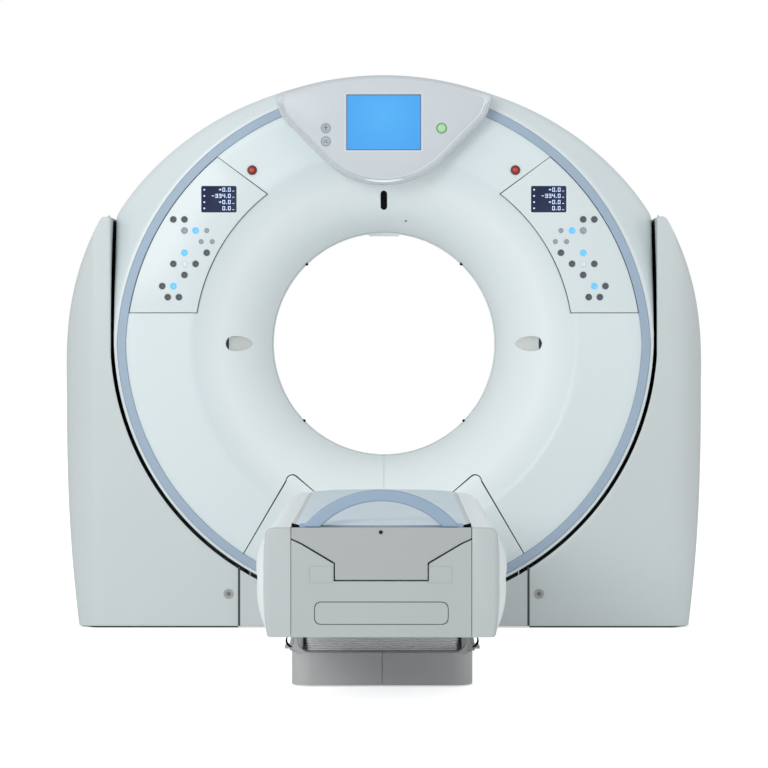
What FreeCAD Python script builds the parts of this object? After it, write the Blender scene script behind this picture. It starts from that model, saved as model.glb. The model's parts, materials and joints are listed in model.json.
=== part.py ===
import FreeCAD, Part
import os
import re
import Sketcher

# A CT scanner: a drum that tilts between two stands, and a patient couch in front of it. All sizes are in
# millimetres. X runs across the machine, Y along the bore (the couch lies towards -Y) and Z up. The origin is
# on the floor, straight below the middle of the bore. The drum is drawn about its tilt axis, at axis_height.

SIZES = {
    # bore and drum
    "floor_room": 140,
    "bore_radius": 390,
    "face_band": 264,
    "rear_face_band": 307,
    "liner_half": 40,
    "liner_wall": 9,
    "tab_width": 106,
    "tab_drop": 10,
    "drum_half": 430,
    "drum_radius": 917,
    "base_flattening": 22,
    "flat_depth": 92,
    "rim_flattening": 36,
    "lip_width": 11,
    "ring_width": 29,
    "ring_depth": 16,
    "ring_proud": 4,
    "bevel_run": 100,
    "bevel_rise": 118,
    "casing_wall": 12,
    "shoulder_drop": 475,
    "arch_drop": 9,
    "arch_quarter_in": 467,
    "arch_quarter_drop": 97,
    "arch_flank_in": 168,
    "arch_flank_drop": 282,
    "cover_plate": 12,
    "cover_skin": 8,
    "flare_bow_front": 39,
    "flare_bow_in": 58,
    "bore_step": 2,
    "fit_gap": 0.3,
    "seat_gap": 0.1,
    "seam_gap": 2,
    "overcut": 10,
    # front inserts
    "panel_floor_up": 105,
    "panel_lap": 9,
    "panel_tip_turn": 52,
    "panel_shoulder_drop": 284,
    "panel_side_turn": 32,
    "display_wide": 120,
    "display_tall": 90,
    "display_deep": 4,
    "display_out": 91,
    "display_turn": 41.2,
    "key_radius": 11.5,
    "small_key_radius": 8.5,
    "key_proud": 3,
    "key_column": 18.9,
    "key_row": 37.7,
    "keypad_out": 76,
    "keypad_turn": 21.8,
    "apron_foot_x": 498,
    "apron_foot_rise": 164,
    "apron_peak_x": 318,
    "apron_peak_rise": 470,
    "apron_peak_wide": 32,
    "apron_peak_fall": 15,
    "apron_peak_crown": 4,
    "apron_peak_lean": 14,
    "apron_peak_dip": 9,
    "apron_dip_x": 225,
    "apron_dip_rise": 415,
    "slot_wide": 22,
    "slot_tall": 63,
    "slot_shift": 28,
    "laser_share": 0.3644,
    "laser_radius": 22,
    "laser_reach": 66,
    "laser_sink": 17.8,
    "laser_glass": 6,
    "estop_radius": 15.6,
    "estop_proud": 11,
    "estop_travel": 4,
    "estop_out": 86,
    "estop_turn": 52.8,
    # hood over the bore
    "hood_proud": 90,
    "hood_bottom_drop": 379,
    "hood_knee_x": 201,
    "hood_knee_drop": 296,
    "hood_wing_x": 346,
    "hood_wing_drop": 151,
    "hood_tip_x": 370,
    "hood_tip_drop": 79,
    "hood_top_drop": 11,
    "hood_rim": 14,
    "fascia_sunk": 3,
    "fascia_thick": 12,
    "screen_wide": 251,
    "screen_tall": 187,
    "screen_deep": 7,
    "screen_drop": 172,
    "icon_radius": 16.6,
    "icon_deep": 3,
    "icon_x": 195,
    "icon_drop": 192,
    "icon_pitch": 44,
    "start_radius": 14,
    "start_proud": 4,
    "start_travel": 2.5,
    "start_floor": 1,
    # rotating parts
    "rotor_face": 120,
    "rotor_thick": 80,
    "rotor_inset": 80,
    "rotor_room": 101,
    "arm_setback": 45,
    "slip_inset": 20,
    "slip_outer": 650,
    "slip_thick": 16,
    "tube_radius": 95,
    "tube_long": 300,
    "tube_inset": 43,
    "collimator_wide": 180,
    "collimator_tall": 60,
    "collimator_long": 140,
    "pack_inset": 15,
    "pack_tall": 190,
    "pack_wide": 330,
    "pack_long": 240,
    "detector_gap": 25,
    "detector_thick": 55,
    "detector_long": 180,
    "detector_angle": 25,
    "pulley_radius": 45,
    "pulley_angle": 45,
    "pulley_shaft": 18,
    "pulley_end_gap": 1,
    "motor_cup": 30,
    "belt_wide": 40,
    "belt_thick": 5,
    "belt_room": 6,
    "motor_radius": 55,
    "motor_long": 150,
    # tilt bearings and stands
    "pin_radius": 60,
    "pin_step_radius": 40,
    "bearing_half": 92,
    "arm_half": 150,
    "arm_thick": 80,
    "tower_thick": 70,
    "tower_half": 140,
    "tower_above": 135,
    "gearbox_room": 16,
    "tower_gap": 10,
    "pin_end_gap": 10,
    "gearbox_half": 110,
    "pocket_gap": 12,
    "liner_thick": 6,
    "stand_wall": 10,
    "base_cover_wall": 8,
    "stand_seam_in": 425,
    "stand_face": 440,
    "stand_foot_out": 122,
    "stand_knee_out": 164,
    "stand_knee_drop": 544,
    "stand_wide_out": 174,
    "stand_wide_drop": 125,
    "stand_shoulder_out": 150,
    "stand_shoulder_rise": 152,
    "stand_tip_out": 40,
    "stand_tip_rise": 430,
    "stand_crease_out": 66,
    "stand_side_out": 178,
    "corner_run": 190,
    "corner_mid_out": 149,
    "corner_mid_y": 375,
    "ground_gap": 5,
    "lock_radius": 17,
    "lock_proud": 3,
    "lock_in": 35,
    "lock_z": 115,
    "sill_height": 60,
    "sill_setback": 18,
    "beam_lap": 40,
    "beam_height": 78,
    "beam_deep": 95,
    "pad_height": 12,
    "pad_half": 45,
    "anchor_in": 117,
    "anchor_y": 340,
    "anchor_radius": 10,
    "duct_half": 110,
    "duct_height": 35,
    # couch
    "foot_y": 3060,
    "head_y": 1000,
    "end_thick": 42,
    "couch_floor": 198,
    "couch_top": 484,
    "frame_half": 236,
    "cheek_half": 302,
    "bulge_half": 330,
    "bulge_z": 345,
    "bulge_run": 110,
    "shoulder_half": 282,
    "skirt_half": 298,
    "side_wall": 5,
    "ledge_z": 440,
    "ledge_rise": 12,
    "shell_gap": 1,
    "ledge_wide": 27,
    "slope_half": 124,
    "slope_z": 389,
    "trough_z": 344,
    "couch_seam": 3,
    "frame_plate": 8,
    "frame_fold": 5,
    "panel_half": 174,
    "panel_low_z": 232,
    "panel_high_z": 290,
    "panel_corner": 18,
    "panel_thick": 3,
    "cradle_floor": 457,
    "cradle_rim": 486,
    "cradle_dip": 14,
    "couchtop_setback": 10,
    "cradle_edge": 14,
    "cradle_lip": 6,
    "runner_wide": 14,
    "mattress_rim": 489,
    "mattress_crown": 498,
    "mattress_setback": 8,
    "mattress_inset": 7,
    "mattress_edge": 3,
    "mattress_corner": 28,
    "handle_top": 582,
    "handle_band": 30,
    "handle_foot_out": 206,
    "handle_foot_in": 160,
    "handle_thick": 26,
    "base_front": 2380,
    "base_back": 1560,
    "base_half": 255,
    "base_top": 95,
    "base_corner": 60,
    "base_wall": 5,
    "base_foot": 3,
    "ear_height": 40,
    "ear_thick": 26,
    "ear_setback": 5,
    "plate_thick": 12,
    "plate_gap": 5,
    "bolt_x": 190,
    "bolt_in": 70,
    "bolt_radius": 9,
    "column_y": 1950,
    "column_half_x": 150,
    "column_half_y": 130,
    "column_wall": 10,
    "column_top": 325,
    "column_step": 8,
    "bellows_half": 220,
    "bellows_front": 2335,
    "bellows_back": 1605,
    "bellows_fold": 7,
    "bellows_taper": 6,
    "bellows_wall": 4,
    "pedal_reach": 26,
    "pedal_long": 70,
    "pedal_thick": 7,
    "pedal_foot": 5,
    "pedal_tall": 38,
    "pedal_y": 2310,
    "pedal_pin": 3,
    "pedal_pin_out": 6,
    "pedal_pin_up": 9,
    "pedal_lug": 6,
}

# Sizes that follow from others: the drum's forms hang on its radius, and the stands and the hood on the drum.
FOLLOWING = {
    "rim_top": "drum_radius-rim_flattening",
    "drum_bottom": "drum_radius-base_flattening",
    "drum_flat": "drum_radius-flat_depth",
    "axis_height": "drum_flat+floor_room",
    "flare_radius": "drum_radius-face_band",
    "rear_flare_radius": "drum_radius-rear_face_band",
    "shoulder_up": "drum_radius-shoulder_drop",
    "arch_top": "drum_radius-arch_drop",
    "arch_quarter_x": "drum_radius-arch_quarter_in",
    "arch_quarter_up": "drum_radius-arch_quarter_drop",
    "arch_flank_x": "drum_radius-arch_flank_in",
    "arch_flank_up": "drum_radius-arch_flank_drop",
    "panel_inner_radius": "flare_radius-panel_lap",
    "panel_tip_x": "panel_inner_radius*cos(panel_tip_turn)",
    "panel_tip_up": "panel_inner_radius*sin(panel_tip_turn)",
    "panel_shoulder_up": "drum_radius-panel_shoulder_drop",
    "display_x": "(flare_radius+display_out)*cos(display_turn)",
    "display_up": "(flare_radius+display_out)*sin(display_turn)",
    "keypad_x": "(flare_radius+keypad_out)*cos(keypad_turn)",
    "keypad_up": "(flare_radius+keypad_out)*sin(keypad_turn)",
    "estop_x": "(flare_radius+estop_out)*cos(estop_turn)",
    "estop_up": "(flare_radius+estop_out)*sin(estop_turn)",
    "apron_foot_up": "apron_foot_rise-drum_radius",
    "apron_peak_up": "apron_peak_rise-drum_radius",
    "apron_dip_up": "apron_dip_rise-drum_radius",
    "laser_bow": "4*laser_share*(1-laser_share)",
    "laser_back": "(drum_half-liner_half)*laser_share-flare_bow_front*laser_bow",
    "laser_fall": "(flare_radius-bore_radius-bore_step)*laser_share+flare_bow_in*laser_bow",
    "laser_x": "flare_radius-laser_fall+laser_sink",
    "hood_bottom": "drum_radius-hood_bottom_drop",
    "hood_knee_up": "drum_radius-hood_knee_drop",
    "hood_wing_up": "drum_radius-hood_wing_drop",
    "hood_tip_up": "drum_radius-hood_tip_drop",
    "hood_top": "drum_radius-hood_top_drop",
    "slot_up": "(bore_radius+hood_bottom)/2+slot_shift",
    "screen_up": "drum_radius-screen_drop",
    "icon_up": "drum_radius-icon_drop",
    "rotor_outer": "rim_top-rotor_room",
    "rotor_inner": "rear_flare_radius-rotor_inset",
    "tube_up": "flare_radius-tube_inset",
    "pack_inner": "rotor_inner+pack_inset",
    "pulley_distance": "rotor_outer+pulley_radius+belt_thick",
    "mouth_slope": "(rear_flare_radius-bore_radius-bore_step)/(drum_half-liner_half-cover_plate)",
    "mouth_back": "bore_radius+bore_step+cover_plate+(rotor_face-liner_half)*mouth_slope",
    "detector_inner": "mouth_back+detector_gap",
    "arm_outer": "drum_radius-arm_setback",
    "tower_inner": "drum_radius+pocket_gap+liner_thick+tower_gap",
    "tower_outer": "tower_inner+tower_thick",
    "stand_foot_x": "drum_radius+stand_foot_out",
    "stand_knee_x": "drum_radius+stand_knee_out",
    "stand_knee_z": "axis_height-stand_knee_drop",
    "stand_wide_x": "drum_radius+stand_wide_out",
    "stand_wide_z": "axis_height-stand_wide_drop",
    "stand_shoulder_x": "drum_radius+stand_shoulder_out",
    "stand_shoulder_z": "axis_height+stand_shoulder_rise",
    "stand_tip_x": "drum_radius+stand_tip_out",
    "stand_tip_z": "axis_height+stand_tip_rise",
    "stand_crease_x": "drum_radius+stand_crease_out",
    "stand_side_x": "drum_radius+stand_side_out",
    "corner_mid_x": "drum_radius+corner_mid_out",
    "gearbox_thick": "stand_wide_x-stand_wall-gearbox_room-tower_outer",
    "stand_seam_x": "drum_radius-stand_seam_in",
    "lock_x": "stand_seam_x+lock_in",
    "ear_face": "base_half-ear_setback",
    "ledge_half": "frame_half-ledge_wide",
    "cradle_half": "frame_half-shell_gap",
    "anchor_x": "drum_radius-anchor_in",
}

BELLOWS_FOLDS = 6
BELT_STEPS = 36
PULLEY_STEPS = 8
FRONT_FLARE_STEPS = 4
REAR_FLARE_STEPS = 2
ROUND_CAP_SIDES = 24
RING_SIDES = 36
LINER_SIDES = 48
MOUTH_SIDES = 36
FRAME_SIDES = 24
PIN_HOLE_SIDES = 12

# Key caps of one keypad: steps across (towards the bore) and up from the middle key, and whether it is small.
KEYS = [
    (-2, 4, False), (0, 4, False),
    (0, 3, False), (2, 3, False), (4, 3, True),
    (3, 2, True), (5, 2, True),
    (0, 1, False), (4, 1, False),
    (-2, 0, False), (0, 0, False), (2, 0, False),
    (0, -1, False),
    (-4, -2, False), (-2, -2, False),
    (-3, -3, False), (-1, -3, False),
]

doc = FreeCAD.newDocument("ct_scanner")
sheet = doc.addObject("Spreadsheet::Sheet", "Sizes")
pieces = []


# ---- drawing helpers

def fill_sheet():
    for row, (alias, size) in enumerate(SIZES.items(), start=1):
        sheet.set(f"A{row}", alias)
        sheet.set(f"B{row}", str(size))
        sheet.setAlias(f"B{row}", alias)
    doc.recompute()
    for row, (alias, formula) in enumerate(FOLLOWING.items(), start=len(SIZES) + 1):
        sheet.set(f"A{row}", alias)
        sheet.set(f"B{row}", "=" + formula)
        sheet.setAlias(f"B{row}", alias)
        doc.recompute()


def linked(formula):
    """The formula with each size's name pointing at its cell."""
    def point(word):
        known = word.group() in SIZES or word.group() in FOLLOWING
        return "Sizes." + word.group() if known else word.group()
    return re.sub(r"[a-z_]\w*", point, str(formula))


def number(formula):
    found = sheet.evalExpression(linked(formula))
    return float(getattr(found, "Value", found))


def bind(item, settings):
    for name, formula in settings.items():
        item.setExpression(name, linked(formula))


def via(across, up):
    """A point that the arc between its two neighbours passes through."""
    return ("via", across, up)


def circle(radius, across="0", up="0"):
    return [("circle", radius, across, up)]


def many_sided(radius, sides, across="0", up="0"):
    turns = [360 * side / sides for side in range(sides)]
    return [(f"({across})+({radius})*cos({degrees})", f"({up})+({radius})*sin({degrees})")
            for degrees in turns]


def around(radius, sides, across="0", up="0"):
    """A many-sided outline whose flats, and not its corners, lie at the radius."""
    return many_sided(f"({radius})/cos({180 / sides})", sides, across, up)


def rectangle(left, right, low, high):
    return [(left, low), (right, low), (right, high), (left, high)]


def pin_point(sketch, shape, end, across, up):
    for kind, formula in (("DistanceX", across), ("DistanceY", up)):
        rule = sketch.addConstraint(Sketcher.Constraint(kind, -1, 1, shape, end, number(formula)))
        sketch.setExpression(f"Constraints[{rule}]", linked(formula))


def draw_circle(sketch, radius, across, up):
    middle = FreeCAD.Vector(number(across), number(up), 0)
    ring = sketch.addGeometry(Part.Circle(middle, FreeCAD.Vector(0, 0, 1), number(radius)), False)
    rule = sketch.addConstraint(Sketcher.Constraint("Radius", ring, number(radius)))
    sketch.setExpression(f"Constraints[{rule}]", linked(radius))
    pin_point(sketch, ring, 3, across, up)


def draw_loop(sketch, loop):
    """Lines between the points, and arcs where a via point stands between two of them."""
    if loop[0][0] == "circle":
        draw_circle(sketch, *loop[0][1:])
        return
    edges = []
    corners = [step for step in loop if step[0] != "via"]
    spots = [FreeCAD.Vector(number(x), number(y), 0) for x, y in corners]
    place = -1
    for index, step in enumerate(loop):
        if step[0] == "via":
            continue
        place += 1
        start = spots[place]
        end = spots[(place + 1) % len(spots)]
        following = loop[(index + 1) % len(loop)]
        if following[0] != "via":
            edges.append((sketch.addGeometry(Part.LineSegment(start, end), False), 1, 2))
            continue
        _, across, up = following
        middle = FreeCAD.Vector(number(across), number(up), 0)
        arc = sketch.addGeometry(Part.Arc(start, middle, end), False)
        ends = [(sketch.getPoint(arc, corner) - start).Length for corner in (1, 2)]
        first = 1 if ends[0] < ends[1] else 2
        edges.append((arc, first, 3 - first))
        mark = sketch.addGeometry(Part.Point(middle), True)
        sketch.addConstraint(Sketcher.Constraint("PointOnObject", mark, 1, arc))
        pin_point(sketch, mark, 1, across, up)
    for place, (edge, first, last) in enumerate(edges):
        before = edges[place - 1]
        sketch.addConstraint(Sketcher.Constraint("Coincident", before[0], before[2], edge, first))
        pin_point(sketch, edge, first, *corners[place])


def new_body(name, up="0"):
    body = doc.addObject("PartDesign::Body", name)
    bind(body, {".Placement.Base.z": up})
    return body


def draw(body, name, plane, loops, level="0"):
    """A sketch in one of the body's own planes, moved along that plane's normal to the level."""
    sketch = body.newObject("Sketcher::SketchObject", name)
    support = [item for item in body.Origin.OriginFeatures if item.Role == plane + "_Plane"][0]
    sketch.AttachmentSupport = (support, "")
    sketch.MapMode = "FlatFace"
    side = "-" if plane == "XZ" else ""
    bind(sketch, {".AttachmentOffset.Base.z": f"{side}({level})"})
    for loop in loops:
        draw_loop(sketch, loop)
    return sketch


def extrude(body, kind, name, plane, loops, low, high):
    """A pad or a pocket of the loops from one level to the other along the plane's normal axis."""
    start = high if plane == "XZ" else low
    sketch = draw(body, name + "_outline", plane, loops, start)
    feature = body.newObject("PartDesign::" + kind, name)
    feature.Profile = sketch
    feature.Reversed = kind == "Pocket"
    bind(feature, {"Length": f"({high})-({low})"})
    body.Tip = feature
    return feature


def pad(body, name, plane, loops, low, high):
    return extrude(body, "Pad", name, plane, loops, low, high)


def pocket(body, name, plane, loops, low, high):
    doc.recompute()
    before = body.Shape.Volume
    feature = extrude(body, "Pocket", name, plane, loops, low, high)
    doc.recompute()
    if body.Shape.Volume > before - 1:
        raise ValueError(name + " cuts nothing")
    return feature


def turn(body, name, plane, loop):
    """A full turn of the loop about the sketch's horizontal axis."""
    sketch = draw(body, name + "_outline", plane, [loop])
    feature = body.newObject("PartDesign::Revolution", name)
    feature.Profile = sketch
    feature.ReferenceAxis = (sketch, ["H_Axis"])
    feature.Angle = 360
    body.Tip = feature


def loft(body, name, plane, sections):
    """A ruled skin through loops at their levels."""
    sketches = [draw(body, f"{name}_outline_{place}", plane, [loop], level)
                for place, (loop, level) in enumerate(sections)]
    feature = body.newObject("PartDesign::AdditiveLoft", name)
    feature.Profile = sketches[0]
    feature.Sections = sketches[1:]
    feature.Ruled = True
    body.Tip = feature
    return feature


def repeat(body, name, feature, count):
    """Repeats a feature of the body evenly about its Y axis."""
    pattern = body.newObject("PartDesign::PolarPattern", name)
    pattern.Originals = [feature]
    pattern.Axis = ([item for item in body.Origin.OriginFeatures if item.Role == "Y_Axis"][0], [""])
    pattern.Angle = 360
    pattern.Occurrences = count
    body.Tip = pattern


def solid_pad(name, plane, loops, low, high, up="0"):
    body = new_body(name, up)
    pad(body, name + "_pad", plane, loops, low, high)
    return body


def box(name, left, right, near, far, low, high, up="0"):
    item = doc.addObject("Part::Box", name)
    bind(item, {
        "Length": f"({right})-({left})", "Width": f"({far})-({near})", "Height": f"({high})-({low})",
        ".Placement.Base.x": left, ".Placement.Base.y": near, ".Placement.Base.z": f"({up})+({low})",
    })
    return item


def cylinder(name, axis, radius, length, across="0", along="0", up="0"):
    """A round bar that starts at the given point and runs along its axis."""
    if axis == "X":
        return solid_pad(name, "YZ", [circle(radius, along)], across, f"{across}+({length})", up)
    if axis == "Y":
        return solid_pad(name, "XZ", [circle(radius, across)], along, f"{along}+({length})", up)
    return solid_pad(name, "XY", [circle(radius, across, along)], up, f"{up}+({length})")


def prism(name, radius, sides, across, along, up, length):
    """A many-sided bar along Y, for small round caps."""
    item = doc.addObject("Part::Prism", name)
    item.Polygon = sides
    item.Placement.Rotation = FreeCAD.Rotation(FreeCAD.Vector(1, 0, 0), -90)
    bind(item, {
        "Circumradius": radius, "Height": length,
        ".Placement.Base.x": across, ".Placement.Base.y": along, ".Placement.Base.z": up,
    })
    return item


def fuse(name, items):
    item = doc.addObject("Part::MultiFuse", name)
    item.Shapes = items
    item.Refine = True
    return item


def cut(name, base, tools):
    item = doc.addObject("Part::Cut", name)
    item.Base = base
    item.Tool = tools[0] if len(tools) == 1 else fuse(name + "_tools", tools)
    item.Refine = True
    return item


def common(name, items):
    item = doc.addObject("Part::MultiCommon", name)
    item.Shapes = items
    item.Refine = True
    return item


def group(name, items):
    item = doc.addObject("Part::Compound", name)
    item.Links = items
    return item


def mirrored(name, source):
    item = doc.addObject("Part::Mirroring", name)
    item.Source = source
    item.Normal = FreeCAD.Vector(1, 0, 0)
    return item


def piece(item, name):
    item.Label = name
    pieces.append(item)
    return item


# ---- outlines of the drum, seen from the front (across, up from the tilt axis)

def rim_loop(inset):
    """The drum's round front edge: two arcs, a little flatter above than below."""
    wide = f"drum_radius-({inset})"
    return [(f"-({wide})", "0"), via("0", f"rim_top-({inset})"),
            (wide, "0"), via("0", f"-(drum_bottom-({inset}))")]


def rim_body(name, inset, low, high):
    """A plate with the rim's outline, cut flat underneath."""
    body = solid_pad(name, "XZ", [rim_loop(inset)], low, high, "axis_height")
    flat = rectangle("-drum_radius", "drum_radius", "-drum_bottom-casing_wall", f"-(drum_flat-({inset}))")
    pocket(body, name + "_flat", "XZ", [flat], low, high)
    return body


def arch_loop():
    """The casing's outline: straight sides, an arched top and the round underside."""
    return [
        ("-drum_radius", "0"),
        ("-drum_radius", "shoulder_up"),
        via("-arch_flank_x", "arch_flank_up"),
        ("-arch_quarter_x", "arch_quarter_up"),
        via("0", "arch_top"),
        ("arch_quarter_x", "arch_quarter_up"),
        via("arch_flank_x", "arch_flank_up"),
        ("drum_radius", "shoulder_up"),
        ("drum_radius", "0"),
        via("0", "-drum_bottom"),
    ]


def casing_solid():
    """The drum's outside as one solid: an arched block, bevelled by a cone at both ends, flat underneath."""
    block = solid_pad("casing_block", "XZ", [arch_loop()], "-drum_half", "drum_half", "axis_height")
    flat = rectangle("-drum_radius-casing_wall", "drum_radius+casing_wall", "-drum_bottom-casing_wall",
                     "-drum_flat")
    pocket(block, "casing_flat", "XZ", [flat], "-drum_half", "drum_half")
    arc = "((drum_radius^2+rim_top^2)/(2*rim_top))"
    wide = f"{arc}+bevel_rise"
    bevels = new_body("casing_bevels", f"axis_height+rim_top-{arc}")
    turn(bevels, "casing_bevel_turn", "YZ", [
        ("-drum_half", "0"), ("-drum_half", arc), ("-(drum_half-bevel_run)", wide),
        ("drum_half-bevel_run", wide), ("drum_half", arc), ("drum_half", "0"),
    ])
    return common("casing_solid", [block, bevels])


def build_casing(solid):
    inside = rim_body("casing_inside", "lip_width", "-drum_half", "drum_half")
    pin_hole = solid_pad("casing_pin_hole", "YZ", [many_sided("pin_radius+casing_wall", ROUND_CAP_SIDES)],
                         "-drum_radius-overcut", "drum_radius+overcut", "axis_height")
    return piece(cut("casing", solid, [inside, pin_hole]), "casing_shell")


def build_trim_ring():
    low = "-(drum_half+ring_proud)"
    high = "-(drum_half-ring_depth)"
    outer = rim_body("trim_outer", "lip_width+fit_gap", low, high)
    inner = rim_body("trim_inner", "lip_width+ring_width", low, high)
    return piece(cut("trim", outer, [inner]), "trim_ring")


# ---- front and rear covers

def flare_point(radius, share, side):
    """A point of the bore's mouth, from its rim (share 0) to the bore (share 1), bowed towards the bore."""
    bow = 4 * share * (1 - share)
    run = f"((drum_half-liner_half)*{share}-flare_bow_front*{bow})"
    fall = f"((({radius})-bore_radius-bore_step)*{share}+flare_bow_in*{bow})"
    return (f"{side}*(drum_half-{run})", f"({radius})-{fall}")


def flare_loop(radius, depth, side, steps):
    """Half section of the bore's mouth: its face in even steps, then a block with room for its back."""
    face = [flare_point(radius, step / steps, side) for step in range(steps + 1)]
    outside = f"({radius})+3*({depth})"
    return face + [(f"{side}*liner_half", outside), (f"{side}*drum_half", outside)]


def flare_body(name, radius, depth, side, steps):
    """The bore's mouth as a wall: round and bowed in front, and a straight many-sided funnel behind."""
    mouth = new_body(name + "_turned", "axis_height")
    turn(mouth, name + "_face", "YZ", flare_loop(radius, depth, side, steps))
    back = new_body(name + "_back", "axis_height")
    narrow = f"bore_radius+bore_step+({depth})"
    wide = f"({radius})+({depth})"
    levels = sorted_levels(f"{side}*drum_half", f"{side}*liner_half", side)
    pad(back, name + "_prism", "XZ", [around(wide, MOUTH_SIDES)], *levels)
    near, far = (f"{side}*liner_half", f"{side}*(drum_half-({depth}))")
    wedge = [(near, narrow), (far, wide), (far, f"{wide}+overcut"), (near, f"{wide}+overcut")]
    half = f"2*({wide})*tan({180 / MOUTH_SIDES})"
    slant = pocket(back, name + "_slant", "YZ", [wedge], f"-{half}", half)
    repeat(back, name + "_slants", slant, MOUTH_SIDES)
    return common(name, [mouth, back])


def cover_body(name, radius, depth, side, inset, steps):
    """A cover plate with the rim's outline and the flared mouth in its middle."""
    low, high = sorted_levels(f"{side}*drum_half", f"{side}*(drum_half-({depth}))", side)
    plate = rim_body(name + "_plate", inset, low, high)
    pocket(plate, name + "_mouth", "XZ", [circle(f"{radius}+0.5*({depth})")], low, high)
    return fuse(name, [plate, flare_body(name + "_flare", radius, depth, side, steps)])


def sorted_levels(outer, inner, side):
    return (outer, inner) if side < 0 else (inner, outer)


def ring_edge(up, gap):
    """Distance from the middle to the trim ring's inner edge at this height, less a gap."""
    wide = "(drum_radius-lip_width-ring_width)"
    tall = "(rim_top-lip_width-ring_width)"
    arc = f"(({wide}^2+{tall}^2)/(2*{tall}))"
    return f"sqrt(({arc}-({gap}))^2-(({up})+{arc}-{tall})^2)"


def panel_loop(grow="0"):
    """Outline of the right control panel, from its lower inner corner round the ring's side to its tip."""
    gap = f"seam_gap-({grow})"
    inner = f"panel_inner_radius-({grow})"
    floor = f"panel_floor_up-({grow})"
    shoulder = f"panel_shoulder_up+({grow})"
    return [
        (f"sqrt(({inner})^2-({floor})^2)", floor),
        (ring_edge(floor, gap), floor),
        via(ring_edge("panel_shoulder_up*0.6", gap), "panel_shoulder_up*0.6"),
        (ring_edge(shoulder, gap), shoulder),
        (f"panel_tip_x-({grow})", f"panel_tip_up+({grow})"),
        via(f"({inner})*cos(panel_side_turn)", f"({inner})*sin(panel_side_turn)"),
    ]


def apron_loop(grow="0"):
    """Outline of the lower insert: two peaks with a dip between them where the couch comes up to the drum."""
    def half(side):
        return [
            (f"{side}*(apron_foot_x+({grow}))", "apron_foot_up"),
            (f"{side}*(apron_peak_x+apron_peak_lean+({grow}))",
             f"apron_peak_up-apron_peak_dip-apron_peak_fall+({grow})"),
            via(f"{side}*(apron_peak_x+({grow})/2)", f"apron_peak_up-apron_peak_crown+({grow})"),
            (f"{side}*(apron_peak_x+apron_peak_lean-apron_peak_wide-({grow}))",
             f"apron_peak_up-apron_peak_dip+({grow})"),
            (f"{side}*apron_dip_x", f"apron_dip_up+({grow})"),
        ]
    left = half(-1)
    right = half(1)
    swapped = [right[4], right[3], right[2], right[1], right[0]]
    return left + swapped + [("apron_foot_x", "-drum_bottom"), ("-apron_foot_x", "-drum_bottom")]


def laser_recess(name):
    """The dished groove that the side laser shines through, with a round outer end."""
    return cylinder(name, "X", "laser_radius", "laser_reach", "laser_x-laser_reach",
                    "-(drum_half-laser_back)", "axis_height")


def slot_loop(grow="0"):
    half = f"(slot_wide/2+({grow}))"
    straight = "(slot_tall/2-slot_wide/2)"
    return [
        (half, f"slot_up-{straight}"),
        (half, f"slot_up+{straight}"),
        via("0", f"slot_up+{straight}+{half}"),
        (f"-{half}", f"slot_up+{straight}"),
        (f"-{half}", f"slot_up-{straight}"),
        via("0", f"slot_up-{straight}-{half}"),
    ]


def build_front():
    inset = "lip_width+ring_width+fit_gap"
    blank = cover_body("front_blank", "flare_radius", "cover_plate", -1, inset, FRONT_FLARE_STEPS)
    skin = cover_body("front_skin", "flare_radius", "cover_skin", -1, inset, FRONT_FLARE_STEPS)
    front_to_back = ("-drum_half-overcut", "0")
    apron_area = solid_pad("apron_area", "XZ", [apron_loop()], *front_to_back, "axis_height")
    apron_opening = solid_pad("apron_opening", "XZ", [apron_loop("seam_gap")], *front_to_back, "axis_height")
    slot_area = solid_pad("slot_area", "XZ", [slot_loop()], *front_to_back, "axis_height")
    apron_recess = common("apron_recess", [skin, apron_opening])
    slot_recess = common("slot_recess", [skin, slot_area])
    recess_levels = ("-drum_half-overcut", "-(drum_half-cover_skin-seat_gap)")
    panel_recess = solid_pad("panel_recess", "XZ", [panel_loop("seam_gap")], *recess_levels, "axis_height")
    stem_hole = prism("estop_hole", "estop_radius+fit_gap", ROUND_CAP_SIDES, "estop_x",
                      "-drum_half-overcut", "axis_height+estop_up", "5*cover_plate")
    laser = laser_recess("laser_recess")
    tools = [apron_recess, slot_recess]
    for tool in (panel_recess, stem_hole, laser):
        tools += [tool, mirrored(tool.Name + "_mirror", tool)]
    piece(cut("front", blank, tools), "front_cover")
    piece(common("apron", [skin, apron_area]), "apron_insert")
    piece(common("slot", [skin, slot_area]), "top_laser_window")
    glass = cylinder("laser_glass_right", "X", "laser_radius-fit_gap", "laser_glass", "laser_x-laser_glass",
                     "-(drum_half-laser_back)", "axis_height")
    front_half = box("laser_glass_front", "laser_x-laser_reach", "laser_x+overcut", "-drum_half",
                     "-(drum_half-laser_back)", "-2*laser_radius", "2*laser_radius", "axis_height")
    seated = cut("laser_glass_seated", glass, [front_half])
    piece(group("laser_glasses", [seated, mirrored("laser_glass_left", seated)]), "lateral_laser_windows")


def build_rear():
    inset = "lip_width+fit_gap"
    piece(cover_body("rear_blank", "rear_flare_radius", "cover_plate", 1, inset, REAR_FLARE_STEPS),
          "rear_cover")


def build_bore_liner():
    body = new_body("liner_tube", "axis_height")
    rings = [many_sided("bore_radius+liner_wall", LINER_SIDES), circle("bore_radius")]
    pad(body, "liner_wall_pad", "XZ", rings, "-liner_half", "liner_half")
    tab = rectangle("-tab_width/2", "tab_width/2", "bore_radius-tab_drop", "bore_radius+liner_wall/2")
    pad(body, "liner_tab", "XZ", [tab], "-liner_half", "liner_half")
    piece(body, "bore_liner")


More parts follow.
